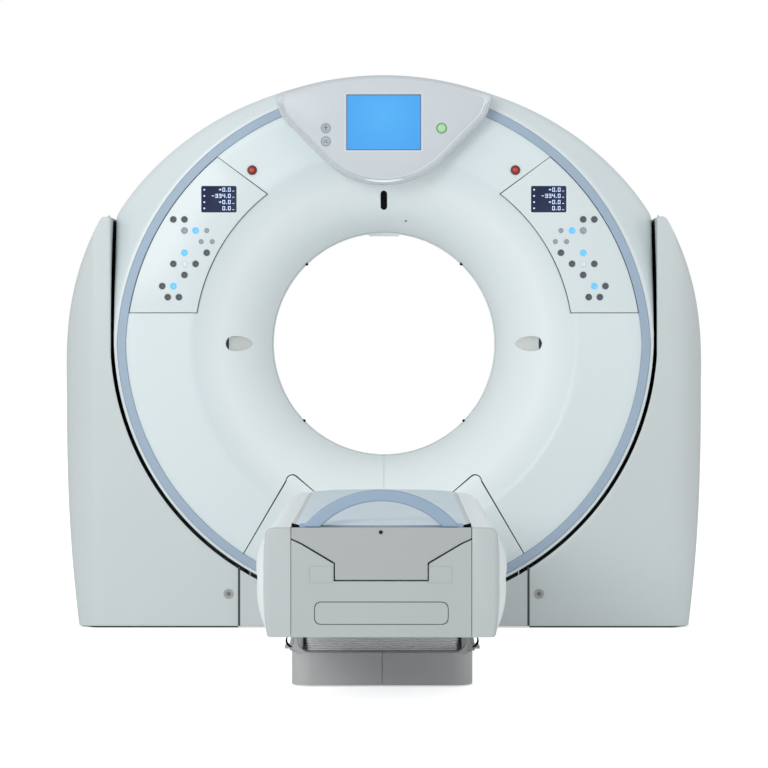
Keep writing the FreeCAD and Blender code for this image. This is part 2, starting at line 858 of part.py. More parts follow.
def build_controls():
    body = solid_pad("panel_plate", "XZ", [panel_loop()], "-drum_half", "-(drum_half-cover_skin)",
                     "axis_height")
    window = rectangle("display_x-display_wide/2-fit_gap", "display_x+display_wide/2+fit_gap",
                       "display_up-display_tall/2-fit_gap", "display_up+display_tall/2+fit_gap")
    pocket(body, "display_seat", "XZ", [window], "-drum_half-overcut", "-(drum_half-display_deep)")
    piece(body, "control_panel_right")
    piece(mirrored("panel_left", body), "control_panel_left")
    screen = box("display_glass", "display_x-display_wide/2", "display_x+display_wide/2", "-drum_half",
                 "-(drum_half-display_deep)", "display_up-display_tall/2", "display_up+display_tall/2",
                 "axis_height")
    piece(screen, "display_right")
    piece(mirrored("display_glass_left", screen), "display_left")
    caps = [key_cap(place, *key) for place, key in enumerate(KEYS)]
    keypad = group("keypad_caps", caps)
    piece(keypad, "keypad_right")
    piece(mirrored("keypad_caps_left", keypad), "keypad_left")


def key_cap(place, across, up, small):
    return prism(f"key_cap_{place}", "small_key_radius" if small else "key_radius", 8,
                 f"keypad_x-({across})*key_column", "-drum_half-key_proud",
                 f"axis_height+keypad_up+({up})*key_row", "key_proud")


def build_estops():
    piece(prism("estop_button", "estop_radius", ROUND_CAP_SIDES, "estop_x", "-drum_half-estop_proud",
                "axis_height+estop_up", "estop_proud+cover_plate-estop_travel"), "estop_right")
    piece(mirrored("estop_button_left", pieces[-1]), "estop_left")


# ---- hood

def hood_loop(inset="0"):
    """A shield: round below, straight flanks, and a gently arched top."""
    knee = (f"hood_knee_x-0.7*({inset})", f"hood_knee_up+0.7*({inset})")
    wing = (f"hood_wing_x-1.1*({inset})", f"hood_wing_up+0.3*({inset})")
    tip = (f"hood_tip_x-1.3*({inset})", f"hood_tip_up-0.6*({inset})")
    def left(point):
        return (f"-({point[0]})", point[1])
    return [left(knee), via("0", f"hood_bottom+({inset})"), knee, wing, tip,
            via("0", f"hood_top-({inset})"), left(tip), left(wing)]


HOOD_FACE = "-(drum_half+hood_proud)"
FASCIA_FACE = "-(drum_half+hood_proud-fascia_sunk)"
FASCIA_BACK = "-(drum_half+hood_proud-fascia_sunk-fascia_thick)"


def build_hood(solid):
    blank = new_body("hood_blank", "axis_height")
    pad(blank, "hood_block", "XZ", [hood_loop()], HOOD_FACE, "-(drum_half-bevel_run)")
    pocket(blank, "hood_fascia_seat", "XZ", [hood_loop("hood_rim")], f"{HOOD_FACE}-overcut", FASCIA_BACK)
    inner = [step[-2:] for step in hood_loop("2.2*hood_rim")]
    pocket(blank, "hood_hollow", "XZ", [inner], FASCIA_BACK, "-(drum_half+ring_proud+casing_wall)")
    ring_room = rim_body("hood_ring_room", "lip_width", "-(drum_half+ring_proud)", "0")
    piece(cut("hood", blank, [solid, ring_room]), "hood_shell")
    build_fascia()


def build_fascia():
    body = solid_pad("fascia_plate", "XZ", [hood_loop("hood_rim+fit_gap")], FASCIA_FACE, FASCIA_BACK,
                     "axis_height")
    screen = rectangle("-screen_wide/2-fit_gap", "screen_wide/2+fit_gap",
                       "screen_up-screen_tall/2-fit_gap", "screen_up+screen_tall/2+fit_gap")
    pocket(body, "fascia_screen_seat", "XZ", [screen], f"{FASCIA_FACE}-overcut", f"{FASCIA_FACE}+screen_deep")
    seats = [prism(f"icon_seat_{place}", "icon_radius+fit_gap", ROUND_CAP_SIDES, "-icon_x",
                   f"{FASCIA_FACE}-overcut", f"axis_height+icon_up-{place}*icon_pitch", "icon_deep+overcut")
             for place in range(2)]
    hole = prism("start_hole", "start_radius+fit_gap", ROUND_CAP_SIDES, "icon_x", f"{FASCIA_FACE}-overcut",
                 "axis_height+icon_up", "fascia_thick-start_floor+overcut")
    piece(cut("fascia", body, seats + [hole]), "hood_fascia")
    piece(box("screen_glass", "-screen_wide/2", "screen_wide/2", FASCIA_FACE, f"{FASCIA_FACE}+screen_deep",
              "screen_up-screen_tall/2", "screen_up+screen_tall/2", "axis_height"), "touchscreen")
    lamps = [prism(f"icon_lamp_{place}", "icon_radius", ROUND_CAP_SIDES, "-icon_x", FASCIA_FACE,
                   f"axis_height+icon_up-{place}*icon_pitch", "icon_deep") for place in range(2)]
    piece(group("icon_lamps", lamps), "status_icons")
    piece(prism("start_cap", "start_radius", ROUND_CAP_SIDES, "icon_x", f"{FASCIA_FACE}-start_proud",
                "axis_height+icon_up", "start_proud+fascia_thick-start_floor-start_travel-fit_gap"),
          "start_button")


# ---- what turns inside the drum

ROTOR_BACK = "(rotor_face+rotor_thick)"
FRAME_FACE = "(rotor_face+belt_wide+belt_room)"
FRAME_BACK = ROTOR_BACK


def build_rotor():
    """A thick ring whose rim runs in the tilt frame, with the belt in front of the frame."""
    disc = [circle("rotor_outer"), many_sided("rotor_inner", RING_SIDES)]
    piece(solid_pad("rotor_disc", "XZ", disc, "rotor_face", ROTOR_BACK, "axis_height"), "rotor_ring")
    rings = [many_sided("slip_outer", RING_SIDES), many_sided("rotor_inner+slip_inset", RING_SIDES)]
    piece(solid_pad("slip_disc", "XZ", rings, ROTOR_BACK, f"{ROTOR_BACK}+slip_thick", "axis_height"),
          "slip_ring")
    build_tube()
    build_packs()
    build_detector()


def build_tube():
    body = new_body("tube_housing", "axis_height")
    barrel = many_sided("tube_radius", ROUND_CAP_SIDES, "0", "tube_up")
    pad(body, "tube_barrel", "XZ", [barrel], "rotor_face-tube_long", "rotor_face")
    collimator = rectangle("-collimator_wide/2", "collimator_wide/2", "tube_up-tube_radius-collimator_tall",
                           "tube_up")
    pad(body, "tube_collimator", "XZ", [collimator], "rotor_face-(tube_long+collimator_long)/2",
        "rotor_face-(tube_long-collimator_long)/2")
    piece(body, "xray_tube")


def build_packs():
    for name, degrees in (("hv_generator", 190), ("heat_exchanger", 350)):
        body = new_body(name + "_case", "axis_height")
        outline = rectangle("pack_inner", "pack_inner+pack_tall", "-pack_wide/2", "pack_wide/2")
        pad(body, name + "_block", "XZ", [outline], "rotor_face-pack_long", "rotor_face")
        body.Placement.Rotation = FreeCAD.Rotation(FreeCAD.Vector(0, -1, 0), degrees)
        piece(body, name)


def build_detector():
    """An arc of detector modules, drawn about the focal spot in the tube."""
    inner = "(tube_up+detector_inner)"
    outer = "(tube_up+detector_inner+detector_thick)"
    def spot(radius, side):
        return (f"{side}*{radius}*sin(detector_angle)", f"tube_up-{radius}*cos(detector_angle)")
    outline = [spot(inner, -1), via("0", f"tube_up-{inner}"), spot(inner, 1),
               spot(outer, 1), via("0", f"tube_up-{outer}"), spot(outer, -1)]
    piece(solid_pad("detector_case", "XZ", [outline], "rotor_face-detector_long", "rotor_face",
                    "axis_height"), "detector_array")


def belt_loop(grow):
    """The belt's path round the rotor and the pulley, in straight steps. The pulley lies straight across."""
    big = f"(rotor_outer+belt_room/2+({grow}))"
    small = f"(pulley_radius+belt_room/8+({grow}))"
    lean = "(acos((rotor_outer-pulley_radius)/pulley_distance)/1deg)"
    points = []
    for step in range(BELT_STEPS + 1):
        degrees = f"({lean}+(360-2*{lean})*{step / BELT_STEPS})"
        points.append((f"{big}*cos({degrees})", f"{big}*sin({degrees})"))
    for step in range(PULLEY_STEPS + 1):
        degrees = f"({lean}*{2 * step / PULLEY_STEPS - 1})"
        points.append((f"pulley_distance+{small}*cos({degrees})", f"{small}*sin({degrees})"))
    return points


def build_drive():
    """The belt and its pulley lie in front of the tilt frame and the motor behind it."""
    start = "(rotor_face-belt_thick)"
    belt = solid_pad("belt_band", "XZ", [belt_loop("belt_thick"), belt_loop("0")], start,
                     f"{start}+belt_wide", "axis_height")
    pulley = new_body("pulley_wheel", "axis_height")
    wheel = many_sided("pulley_radius", ROUND_CAP_SIDES, "pulley_distance")
    pad(pulley, "pulley_drum", "XZ", [wheel], start, f"{start}+belt_wide")
    pad(pulley, "pulley_axle", "XZ", [circle("pulley_shaft", "pulley_distance")], f"{start}+belt_wide",
        f"{FRAME_BACK}+motor_cup-pulley_end_gap")
    motor = new_body("motor_case", "axis_height")
    pad(motor, "motor_barrel", "XZ", [many_sided("motor_radius", ROUND_CAP_SIDES, "pulley_distance")],
        FRAME_BACK, f"{FRAME_BACK}+motor_long")
    bore = around("pulley_shaft+fit_gap", ROUND_CAP_SIDES, "pulley_distance")
    pocket(motor, "motor_bore", "XZ", [bore], FRAME_BACK, f"{FRAME_BACK}+motor_cup")
    for body, name in ((belt, "drive_belt"), (pulley, "drive_pulley"), (motor, "drive_motor")):
        bind(body, {".Placement.Rotation.Angle": "180+pulley_angle"})
        body.Placement.Rotation = FreeCAD.Rotation(FreeCAD.Vector(0, -1, 0), 180 + number("pulley_angle"))
        piece(body, name)


def build_tilt_frame():
    """The main plate across the casing that carries the rotor, with an arm and a stepped pin at each side."""
    outline = many_sided("rim_top-lip_width-fit_gap", FRAME_SIDES)
    body = solid_pad("tilt_plate", "XZ", [outline], FRAME_FACE, FRAME_BACK, "axis_height")
    flat = rectangle("-drum_radius", "drum_radius", "-drum_radius", "-(drum_flat-lip_width-fit_gap)")
    pocket(body, "tilt_plate_flat", "XZ", [flat], FRAME_FACE, FRAME_BACK)
    pocket(body, "tilt_bore", "XZ", [around("rotor_outer+fit_gap", LINER_SIDES)], FRAME_FACE, FRAME_BACK)
    shaft_x = "pulley_distance*cos(180+pulley_angle)"
    shaft_up = "pulley_distance*sin(180+pulley_angle)"
    pocket(body, "tilt_shaft_hole", "XZ", [circle("pulley_shaft+seam_gap", shaft_x, shaft_up)], FRAME_FACE,
           FRAME_BACK)
    items = [body]
    for side in (-1, 1):
        near = "(arm_outer-arm_thick)"
        inner = near if side > 0 else "-arm_outer"
        outer = "arm_outer" if side > 0 else f"-{near}"
        items.append(box(f"tilt_arm_{side + 1}", inner, outer, "-arm_half", FRAME_FACE, "-arm_half",
                         "arm_half", "axis_height"))
        items.append(trunnion(side))
    piece(fuse("tilt_weldment", items), "tilt_frame")


def trunnion(side):
    """The stepped pin: thick in its bearing, thin where it enters the gearbox."""
    reach = "tower_outer"
    tip = f"{reach}+gearbox_thick-pin_end_gap"
    body = new_body(f"tilt_pin_{side + 1}", "axis_height")
    turn(body, f"tilt_pin_turn_{side + 1}", "XZ", [
        (f"{side}*(arm_outer-overcut)", "0"), (f"{side}*(arm_outer-overcut)", "pin_radius"),
        (f"{side}*({reach})", "pin_radius"), (f"{side}*({reach})", "pin_step_radius"),
        (f"{side}*({tip})", "pin_step_radius"), (f"{side}*({tip})", "0"),
    ])
    return body


# ---- stands and floor frame

def drum_room():
    """The room that the tilting drum needs in the stands: its rim's outline, with upright sides above."""
    wide = "(drum_radius+pocket_gap)"
    near, far = ("-stand_face-overcut", "stand_face+overcut")
    below = rim_body("room_below", "-pocket_gap", near, far)
    above = box("room_above", f"-{wide}", wide, near, far, "0", "drum_radius", "axis_height")
    return fuse("drum_room", [below, above])


def stand_front_loop(inset, bottom, seam_x):
    """A stand seen from the front. Underneath and at the seam between the stands its inside is left open."""
    top = f"stand_tip_z-({inset})"
    return [
        (seam_x, bottom),
        (f"stand_foot_x-({inset})", bottom),
        via(f"stand_knee_x-({inset})", "stand_knee_z"),
        (f"stand_wide_x-({inset})", "stand_wide_z"),
        via(f"stand_shoulder_x-({inset})", f"stand_shoulder_z-0.3*({inset})"),
        (f"stand_tip_x-({inset})", top),
        ("drum_radius", top),
        ("drum_radius", "axis_height"),
        (seam_x, "axis_height"),
    ]


def stand_plan_loop(inset):
    """Seen from above: flat front and rear faces with a long rounded outer corner at each."""
    face = f"(stand_face-({inset}))"
    side = f"(stand_side_x-({inset}))"
    return [
        ("0", f"-{face}"),
        (f"stand_crease_x-0.4*({inset})", f"-{face}"),
        via(f"corner_mid_x-0.8*({inset})", f"-(corner_mid_y-0.8*({inset}))"),
        (side, "-(stand_face-corner_run)"),
        (side, "stand_face-corner_run"),
        via(f"corner_mid_x-0.8*({inset})", f"corner_mid_y-0.8*({inset})"),
        (f"stand_crease_x-0.4*({inset})", face),
        ("0", face),
    ]


def stand_block(name, inset, bottom, seam_x):
    outline = stand_front_loop(inset, bottom, seam_x)
    front = solid_pad(name + "_front", "XZ", [outline], "-stand_face", "stand_face")
    plan = solid_pad(name + "_plan", "XY", [stand_plan_loop(inset)], "0", "stand_tip_z")
    return common(name, [front, plan])


def build_stands():
    outside = stand_block("stand_outside", "0", "ground_gap", "stand_seam_x")
    inside = stand_block("stand_inside", "stand_wall", "0", "stand_seam_x-seam_gap")
    room = drum_room()
    cover = cut("stand_cover", outside, [inside, room])
    reach = "(stand_face-stand_wall-fit_gap)"
    near = "(drum_radius+pocket_gap)"
    liner = new_body("liner_plate")
    sheet_outline = rectangle(f"-{reach}", reach, "sill_height+tower_gap", "stand_tip_z-stand_wall-fit_gap")
    pad(liner, "liner_sheet", "YZ", [sheet_outline], near, f"{near}+liner_thick")
    hole = [(y, f"axis_height+{z}") for y, z in many_sided("pin_radius+casing_wall", ROUND_CAP_SIDES)]
    pocket(liner, "liner_pin_hole", "YZ", [hole], near, f"{near}+liner_thick")
    for item, name in ((cover, "stand_cover"), (liner, "stand_liner")):
        piece(item, name + "_right")
        piece(mirrored(item.Name + "_mirror", item), name + "_left")
    caps = [prism(f"lock_cap_{side + 1}", "lock_radius", ROUND_CAP_SIDES, f"{side}*lock_x",
                  "-stand_face-lock_proud", "lock_z", "lock_proud") for side in (-1, 1)]
    piece(group("lock_caps", caps), "stand_locks")
    return room


def build_base_covers(room):
    edge = "(stand_seam_x-seam_gap/2)"
    for name, near, far in (("base_cover_front", "-stand_face", "-(stand_face-base_cover_wall)"),
                            ("base_cover_rear", "stand_face-base_cover_wall", "stand_face")):
        block = box(name + "_block", f"-{edge}", edge, near, far, "ground_gap", "axis_height-drum_bottom/2")
        piece(cut(name + "_wall", block, [room]), name)


def build_floor_frame():
    sill_far = "(stand_face-stand_wall-fit_gap)"
    beam_far = "stand_face-base_cover_wall-fit_gap"
    items = []
    tools = []
    for side in (-1, 1):
        inner, outer = ("(stand_seam_x+sill_setback)", "(stand_crease_x-stand_wall)")
        left = inner if side > 0 else f"-{outer}"
        right = outer if side > 0 else f"-{inner}"
        items.append(box(f"sill_{side + 1}", left, right, f"-{sill_far}", sill_far, "pad_height",
                         "sill_height"))
        tower_left = "tower_inner" if side > 0 else "-tower_outer"
        tower_right = "tower_outer" if side > 0 else "-tower_inner"
        items.append(box(f"tower_{side + 1}", tower_left, tower_right, "-tower_half", "tower_half",
                         "pad_height", "axis_height+tower_above"))
        near = f"-({beam_far})" if side < 0 else f"{beam_far}-beam_deep"
        far = f"-({beam_far}-beam_deep)" if side < 0 else beam_far
        items.append(box(f"beam_{side + 1}", "-(stand_seam_x-seam_gap)", "stand_seam_x-seam_gap", near, far,
                         "pad_height", "beam_height"))
        items.append(box(f"beam_tie_{side + 1}", f"-({inner}+beam_lap)", f"{inner}+beam_lap",
                         near if side > 0 else f"-{sill_far}", far if side < 0 else sill_far,
                         "pad_height", "sill_height"))
        for end in (-1, 1):
            across, along = (f"{side}*anchor_x", f"{end}*anchor_y")
            items.append(box(f"pad_{side + 1}{end + 1}", f"{across}-pad_half", f"{across}+pad_half",
                             f"{along}-pad_half", f"{along}+pad_half", "0", "sill_height/3"))
            tools.append(cylinder(f"anchor_{side + 1}{end + 1}", "Z", "anchor_radius",
                                  "sill_height+2*overcut", across, along, "-overcut"))
    tools.append(box("bearing_seat", "-tower_outer-overcut", "tower_outer+overcut", "-bearing_half",
                     "bearing_half", "-bearing_half", "bearing_half", "axis_height"))
    piece(cut("floor_frame", fuse("floor_weldment", items), tools), "gantry_base_frame")


def build_tilt_drive():
    rings = []
    for side in (-1, 1):
        body = new_body(f"bearing_ring_{side + 1}", "axis_height")
        low = "tower_inner" if side > 0 else "-tower_outer"
        square = rectangle("-bearing_half", "bearing_half", "-bearing_half", "bearing_half")
        pad(body, f"bearing_block_{side + 1}", "YZ", [square, circle("pin_radius+fit_gap")], low,
            f"{low}+tower_thick")
        rings.append(body)
    piece(group("bearing_rings", rings), "tilt_bearings")
    start = "tower_outer"
    case = new_body("gearbox_case", "axis_height")
    square = rectangle("-gearbox_half", "gearbox_half", "-gearbox_half", "gearbox_half")
    pad(case, "gearbox_block", "YZ", [square], start, f"{start}+gearbox_thick")
    pocket(case, "gearbox_bore", "YZ", [circle("pin_step_radius+fit_gap")], f"{start}-overcut",
           f"{start}+gearbox_thick-pin_end_gap+fit_gap")
    barrel = many_sided("gearbox_thick/2-seam_gap", ROUND_CAP_SIDES, f"{start}+gearbox_thick/2")
    motor = solid_pad("gearbox_motor", "XY", [barrel], "axis_height-3*gearbox_half",
                      "axis_height-gearbox_half/2")
    piece(fuse("gearbox", [case, motor]), "tilt_gearmotor")


def build_floor_duct():
    slope = "duct_height"
    outline = [("-duct_half", "0"), ("duct_half", "0"), (f"duct_half-{slope}", "duct_height"),
               (f"-(duct_half-{slope})", "duct_height")]
    piece(solid_pad("duct_strip", "XZ", [outline], "-base_back", "-stand_face"), "floor_duct")


# ---- couch

def base_loop(inset, side):
    """Half of the couch base seen from above, with rounded outer corners."""
    half = f"(base_half-({inset}))"
    corner = f"(base_corner-({inset}))"
    near = f"-(base_front-({inset}))"
    far = f"-(base_back+({inset}))"
    inner = f"{side}*seam_gap/4"
    return [
        (inner, near),
        (f"{side}*({half}-{corner})", near),
        via(f"{side}*({half}-{corner}*(1-sin(45)))", f"{near}+{corner}*(1-sin(45))"),
        (f"{side}*{half}", f"{near}+{corner}"),
        (f"{side}*{half}", far),
        (inner, far),
    ]


def build_couch_base():
    plate = new_body("base_plate")
    half = "(base_half-base_wall-plate_gap)"
    outline = rectangle(f"-{half}", half, "-(base_front-base_corner)", "-(base_back+base_wall+plate_gap)")
    pad(plate, "base_plate_pad", "XY", [outline], "0", "plate_thick")
    holes = [circle("bolt_radius", f"{side}*bolt_x", y) for side in (-1, 1)
             for y in ("-(base_front-base_corner-bolt_in)", "-(base_back+bolt_in)")]
    pocket(plate, "base_plate_holes", "XY", holes, "-overcut", "plate_thick+overcut")
    piece(plate, "couch_base_plate")
    for side, name in ((-1, "left"), (1, "right")):
        piece(base_cover(side, name), "couch_base_cover_" + name)
    build_column()
    build_bellows()
    build_pedals()


def base_cover(side, name):
    body = new_body(f"base_cover_{name}_body")
    pad(body, f"base_cover_{name}_block", "XY", [base_loop("0", side)], "base_foot", "base_top")
    ear = rectangle(f"{side}*(ear_face-ear_thick)", f"{side}*ear_face", "-(base_front-base_corner)",
                    "-(base_back+base_corner)")
    pad(body, f"base_cover_{name}_ear", "XY", [ear], "base_top", "base_top+ear_height")
    hollow = rectangle(f"{side}*seam_gap/4", f"{side}*(base_half-base_wall)", "-(base_front-base_corner)",
                       "-(base_back+base_wall)")
    pocket(body, f"base_cover_{name}_hollow", "XY", [hollow], "base_foot-overcut", "base_top-base_wall")
    hole = rectangle(f"-{side}*overcut", f"{side}*(column_half_x+fit_gap)",
                     "-(column_y+column_half_y+fit_gap)", "-(column_y-column_half_y-fit_gap)")
    pocket(body, f"base_cover_{name}_hole", "XY", [hole], "base_top-base_wall-overcut", "base_top+overcut")
    add_pedal_lugs(body, side, name)
    return body


def column_loops(step):
    """Two rectangles, the outer and inner faces of one of the column's tubes, counted from the outside."""
    shrink = f"{step}*(column_wall+fit_gap)"
    loops = []
    for more in ("0", "column_wall"):
        half_x = f"(column_half_x-{shrink}-{more})"
        half_y = f"(column_half_y-{shrink}-{more})"
        loops.append(rectangle(f"-{half_x}", half_x, f"-column_y-{half_y}", f"-column_y+{half_y}"))
    return loops


def build_column():
    piece(solid_pad("column_outer_tube", "XY", column_loops(0), "plate_thick", "column_top"), "column_outer")
    piece(solid_pad("column_middle_tube", "XY", column_loops(1), "plate_thick+column_step", "column_top"),
          "column_middle")


def bellows_loop(inset):
    half = f"(bellows_half-({inset}))"
    return rectangle(f"-{half}", half, f"-(bellows_front-({inset}))", f"-(bellows_back+({inset}))")


def build_bellows():
    """A skirt of even folds that narrows a little towards the floor."""
    height = "(couch_floor-base_top)"
    outer = new_body("bellows_outer")
    inner = new_body("bellows_inner")
    for body, wall in ((outer, "0"), (inner, "bellows_wall")):
        sections = []
        for fold in range(2 * BELLOWS_FOLDS + 1):
            share = fold / (2 * BELLOWS_FOLDS)
            tuck = "bellows_fold" if fold % 2 == 0 else "0"
            inset = f"{tuck}+bellows_taper*{1 - share}+{wall}"
            sections.append((bellows_loop(inset), f"base_top+{height}*{share}"))
        loft(body, body.Name + "_folds", "XY", sections)
    piece(cut("bellows_skirt", outer, [inner]), "bellows")


PEDAL_NEAR = "-pedal_y"
PEDAL_FAR = "-(pedal_y-pedal_long)"


def pedal_axle(side):
    """Where a pedal's pin lies: across and up."""
    return f"{side}*(ear_face+pedal_pin_out)", "base_top+pedal_pin_up"


def add_pedal_lugs(body, side, name):
    """Two small lugs on the base cover's ear that hold the pedal's pin."""
    outline = rectangle(f"{side}*ear_face", f"{side}*(ear_face+2*pedal_pin_out)", "base_top",
                        "base_top+2*pedal_pin_up")
    loops = [outline, around("pedal_pin+fit_gap", PIN_HOLE_SIDES, *pedal_axle(side))]
    room = "2*fit_gap"
    pad(body, f"pedal_lug_near_{name}", "XZ", loops, f"{PEDAL_NEAR}-{room}-pedal_lug", f"{PEDAL_NEAR}-{room}")
    pad(body, f"pedal_lug_far_{name}", "XZ", loops, f"{PEDAL_FAR}+{room}", f"{PEDAL_FAR}+{room}+pedal_lug")


def build_pedals():
    """Small L-shaped foot pedals beside the bellows, each turning on a pin along Y."""
    back = "(ear_face+shell_gap)"
    low = "(base_top+pedal_foot)"
    for side, name in ((-1, "left"), (1, "right")):
        body = new_body(f"pedal_{name}_body")
        plate = [
            (f"{side}*{back}", low),
            (f"{side}*(ear_face+pedal_reach)", low),
            (f"{side}*(ear_face+pedal_reach)", f"{low}+pedal_thick"),
            (f"{side}*({back}+1.5*pedal_thick)", f"{low}+pedal_thick+3"),
            (f"{side}*({back}+pedal_thick)", f"{low}+pedal_tall"),
            (f"{side}*{back}", f"{low}+pedal_tall"),
        ]
        pad(body, f"pedal_{name}_plate", "XZ", [plate], PEDAL_NEAR, PEDAL_FAR)
        pin = circle("pedal_pin", *pedal_axle(side))
        pad(body, f"pedal_{name}_pin", "XZ", [pin], f"{PEDAL_NEAR}-pedal_lug", f"{PEDAL_FAR}+pedal_lug")
        piece(body, "pedal_" + name)


def build_couch_frame():
    body = new_body("couch_beam")
    low_y = "-(foot_y-end_thick)"
    high_y = "-head_y"
    outline = [("-frame_half", "couch_floor"), ("frame_half", "couch_floor"), ("frame_half", "ledge_z"),
               ("ledge_half", "ledge_z"), ("slope_half", "slope_z"), ("slope_half", "trough_z"),
               ("-slope_half", "trough_z"), ("-slope_half", "slope_z"), ("-ledge_half", "ledge_z"),
               ("-frame_half", "ledge_z")]
    pad(body, "couch_beam_block", "XZ", [outline], low_y, high_y)
    inner = [("-(frame_half-frame_plate)", "couch_floor+frame_plate"),
             ("frame_half-frame_plate", "couch_floor+frame_plate"),
             ("frame_half-frame_plate", "ledge_z-frame_plate"),
             ("ledge_half+frame_fold", "ledge_z-frame_plate"),
             ("slope_half+frame_plate", "slope_z-1.6*frame_plate"),
             ("slope_half+frame_plate", "trough_z-frame_plate"),
             ("-(slope_half+frame_plate)", "trough_z-frame_plate"),
             ("-(slope_half+frame_plate)", "slope_z-1.6*frame_plate"),
             ("-(ledge_half+frame_fold)", "ledge_z-frame_plate"),
             ("-(frame_half-frame_plate)", "ledge_z-frame_plate")]
    pocket(body, "couch_beam_hollow", "XZ", [inner], f"{low_y}+frame_plate", f"{high_y}-frame_plate")
    hole = rectangle("-(column_half_x+shell_gap)", "column_half_x+shell_gap",
                     "-(column_y+column_half_y+shell_gap)", "-(column_y-column_half_y-shell_gap)")
    pocket(body, "couch_beam_hole", "XY", [hole], "couch_floor-overcut", "couch_floor+frame_plate+shell_gap")
    pad(body, "couch_inner_post", "XY", column_loops(2), "plate_thick+2*column_step",
        "trough_z-frame_plate/2")
    piece(body, "couch_frame")


def side_loop(half, shoulder, inset="0"):
    """Section of a side cover: flat top, bulged flank and tucked-in skirt."""
    inner = "frame_half+fit_gap"
    return [
        (inner, f"couch_top-({inset})"),
        (f"{shoulder}-({inset})", f"couch_top-({inset})"),
        via(f"{half}-0.1*({half}-{shoulder})-({inset})", f"bulge_z+0.55*(couch_top-bulge_z)-0.4*({inset})"),
        (f"{half}-({inset})", "bulge_z"),
        via(f"{half}-0.2*({half}-skirt_half)-({inset})", "bulge_z-0.6*(bulge_z-couch_floor)"),
        (f"skirt_half-({inset})", f"couch_floor+({inset})"),
        (inner, f"couch_floor+({inset})"),
    ]


def build_side_covers():
    body = new_body("side_shell")
    foot = side_loop("cheek_half", "cheek_half-ledge_rise")
    full = side_loop("bulge_half", "shoulder_half")
    head = side_loop("cheek_half", "shoulder_half-side_wall-shell_gap")
    loft(body, "side_foot_run", "XZ", [(foot, "-foot_y"), (full, "-(foot_y-bulge_run)")])
    pad(body, "side_long_run", "XZ", [full], "-(foot_y-bulge_run)", "-(head_y+bulge_run)")
    loft(body, "side_head_run", "XZ", [(full, "-(head_y+bulge_run)"), (head, "-head_y")])
    hollow = side_loop("cheek_half", "shoulder_half-side_wall-3*shell_gap", "side_wall")
    pocket(body, "side_hollow", "XZ", [hollow], "-(foot_y-side_wall)", "-(head_y+side_wall)")
    piece(body, "side_cover_right")
    piece(mirrored("side_shell_left", body), "side_cover_left")


def rounded_rectangle(half, low, high, corner):
    def arc(x_sign, z, z_sign, first):
        points = [(f"{x_sign}*({half})", f"{z}-{z_sign}*({corner})"),
                  via(f"{x_sign}*(({half})-({corner})*(1-sin(45)))", f"{z}-{z_sign}*({corner})*(1-sin(45))"),
                  (f"{x_sign}*(({half})-({corner}))", z)]
        return points if first else points[::-1]
    return (arc(1, high, 1, True) + arc(-1, high, 1, False) + arc(-1, low, -1, True) + arc(1, low, -1, False))


def build_foot_end():
    low_y = "-foot_y"
    high_y = "-(foot_y-end_thick)"
    fixed = new_body("foot_shell")
    half = "(frame_half-shell_gap)"
    floor = [(f"-{half}", "couch_floor"), (half, "couch_floor"), (half, "ledge_z+ledge_rise"),
             ("ledge_half", "ledge_z"), ("slope_half", "slope_z"), ("slope_half", "trough_z"),
             ("-slope_half", "trough_z"), ("-slope_half", "slope_z"), ("-ledge_half", "ledge_z"),
             (f"-{half}", "ledge_z+ledge_rise")]
    pad(fixed, "foot_block", "XZ", [floor], low_y, high_y)
    seat = rounded_rectangle("panel_half+fit_gap", "panel_low_z-fit_gap", "panel_high_z+fit_gap",
                             "panel_corner")
    pocket(fixed, "foot_panel_seat", "XZ", [seat], f"{low_y}-overcut", f"{low_y}+panel_thick")
    hollow = rectangle("-(frame_half-frame_plate)", "frame_half-frame_plate", "couch_floor+frame_plate",
                       "trough_z-frame_plate")
    pocket(fixed, "foot_hollow", "XZ", [hollow], f"{low_y}+3*panel_thick", high_y)
    piece(fixed, "foot_cover")
    plate = rounded_rectangle("panel_half", "panel_low_z", "panel_high_z", "panel_corner")
    piece(solid_pad("foot_plate", "XZ", [plate], low_y, f"{low_y}+panel_thick"), "foot_panel")
    gap = "couch_seam"
    moving = [(f"-{half}", "couch_top"), (f"-{half}", f"ledge_z+ledge_rise+{gap}"),
              (f"-(ledge_half-{gap}/2)", f"ledge_z+{gap}"), (f"-(slope_half-{gap})", f"slope_z+{gap}"),
              (f"-(slope_half-{gap})", f"trough_z+{gap}"), (f"slope_half-{gap}", f"trough_z+{gap}"),
              (f"slope_half-{gap}", f"slope_z+{gap}"), (f"ledge_half-{gap}/2", f"ledge_z+{gap}"),
              (half, f"ledge_z+ledge_rise+{gap}"), (half, "couch_top")]
    piece(solid_pad("end_block", "XZ", [moving], low_y, high_y), "end_cover")


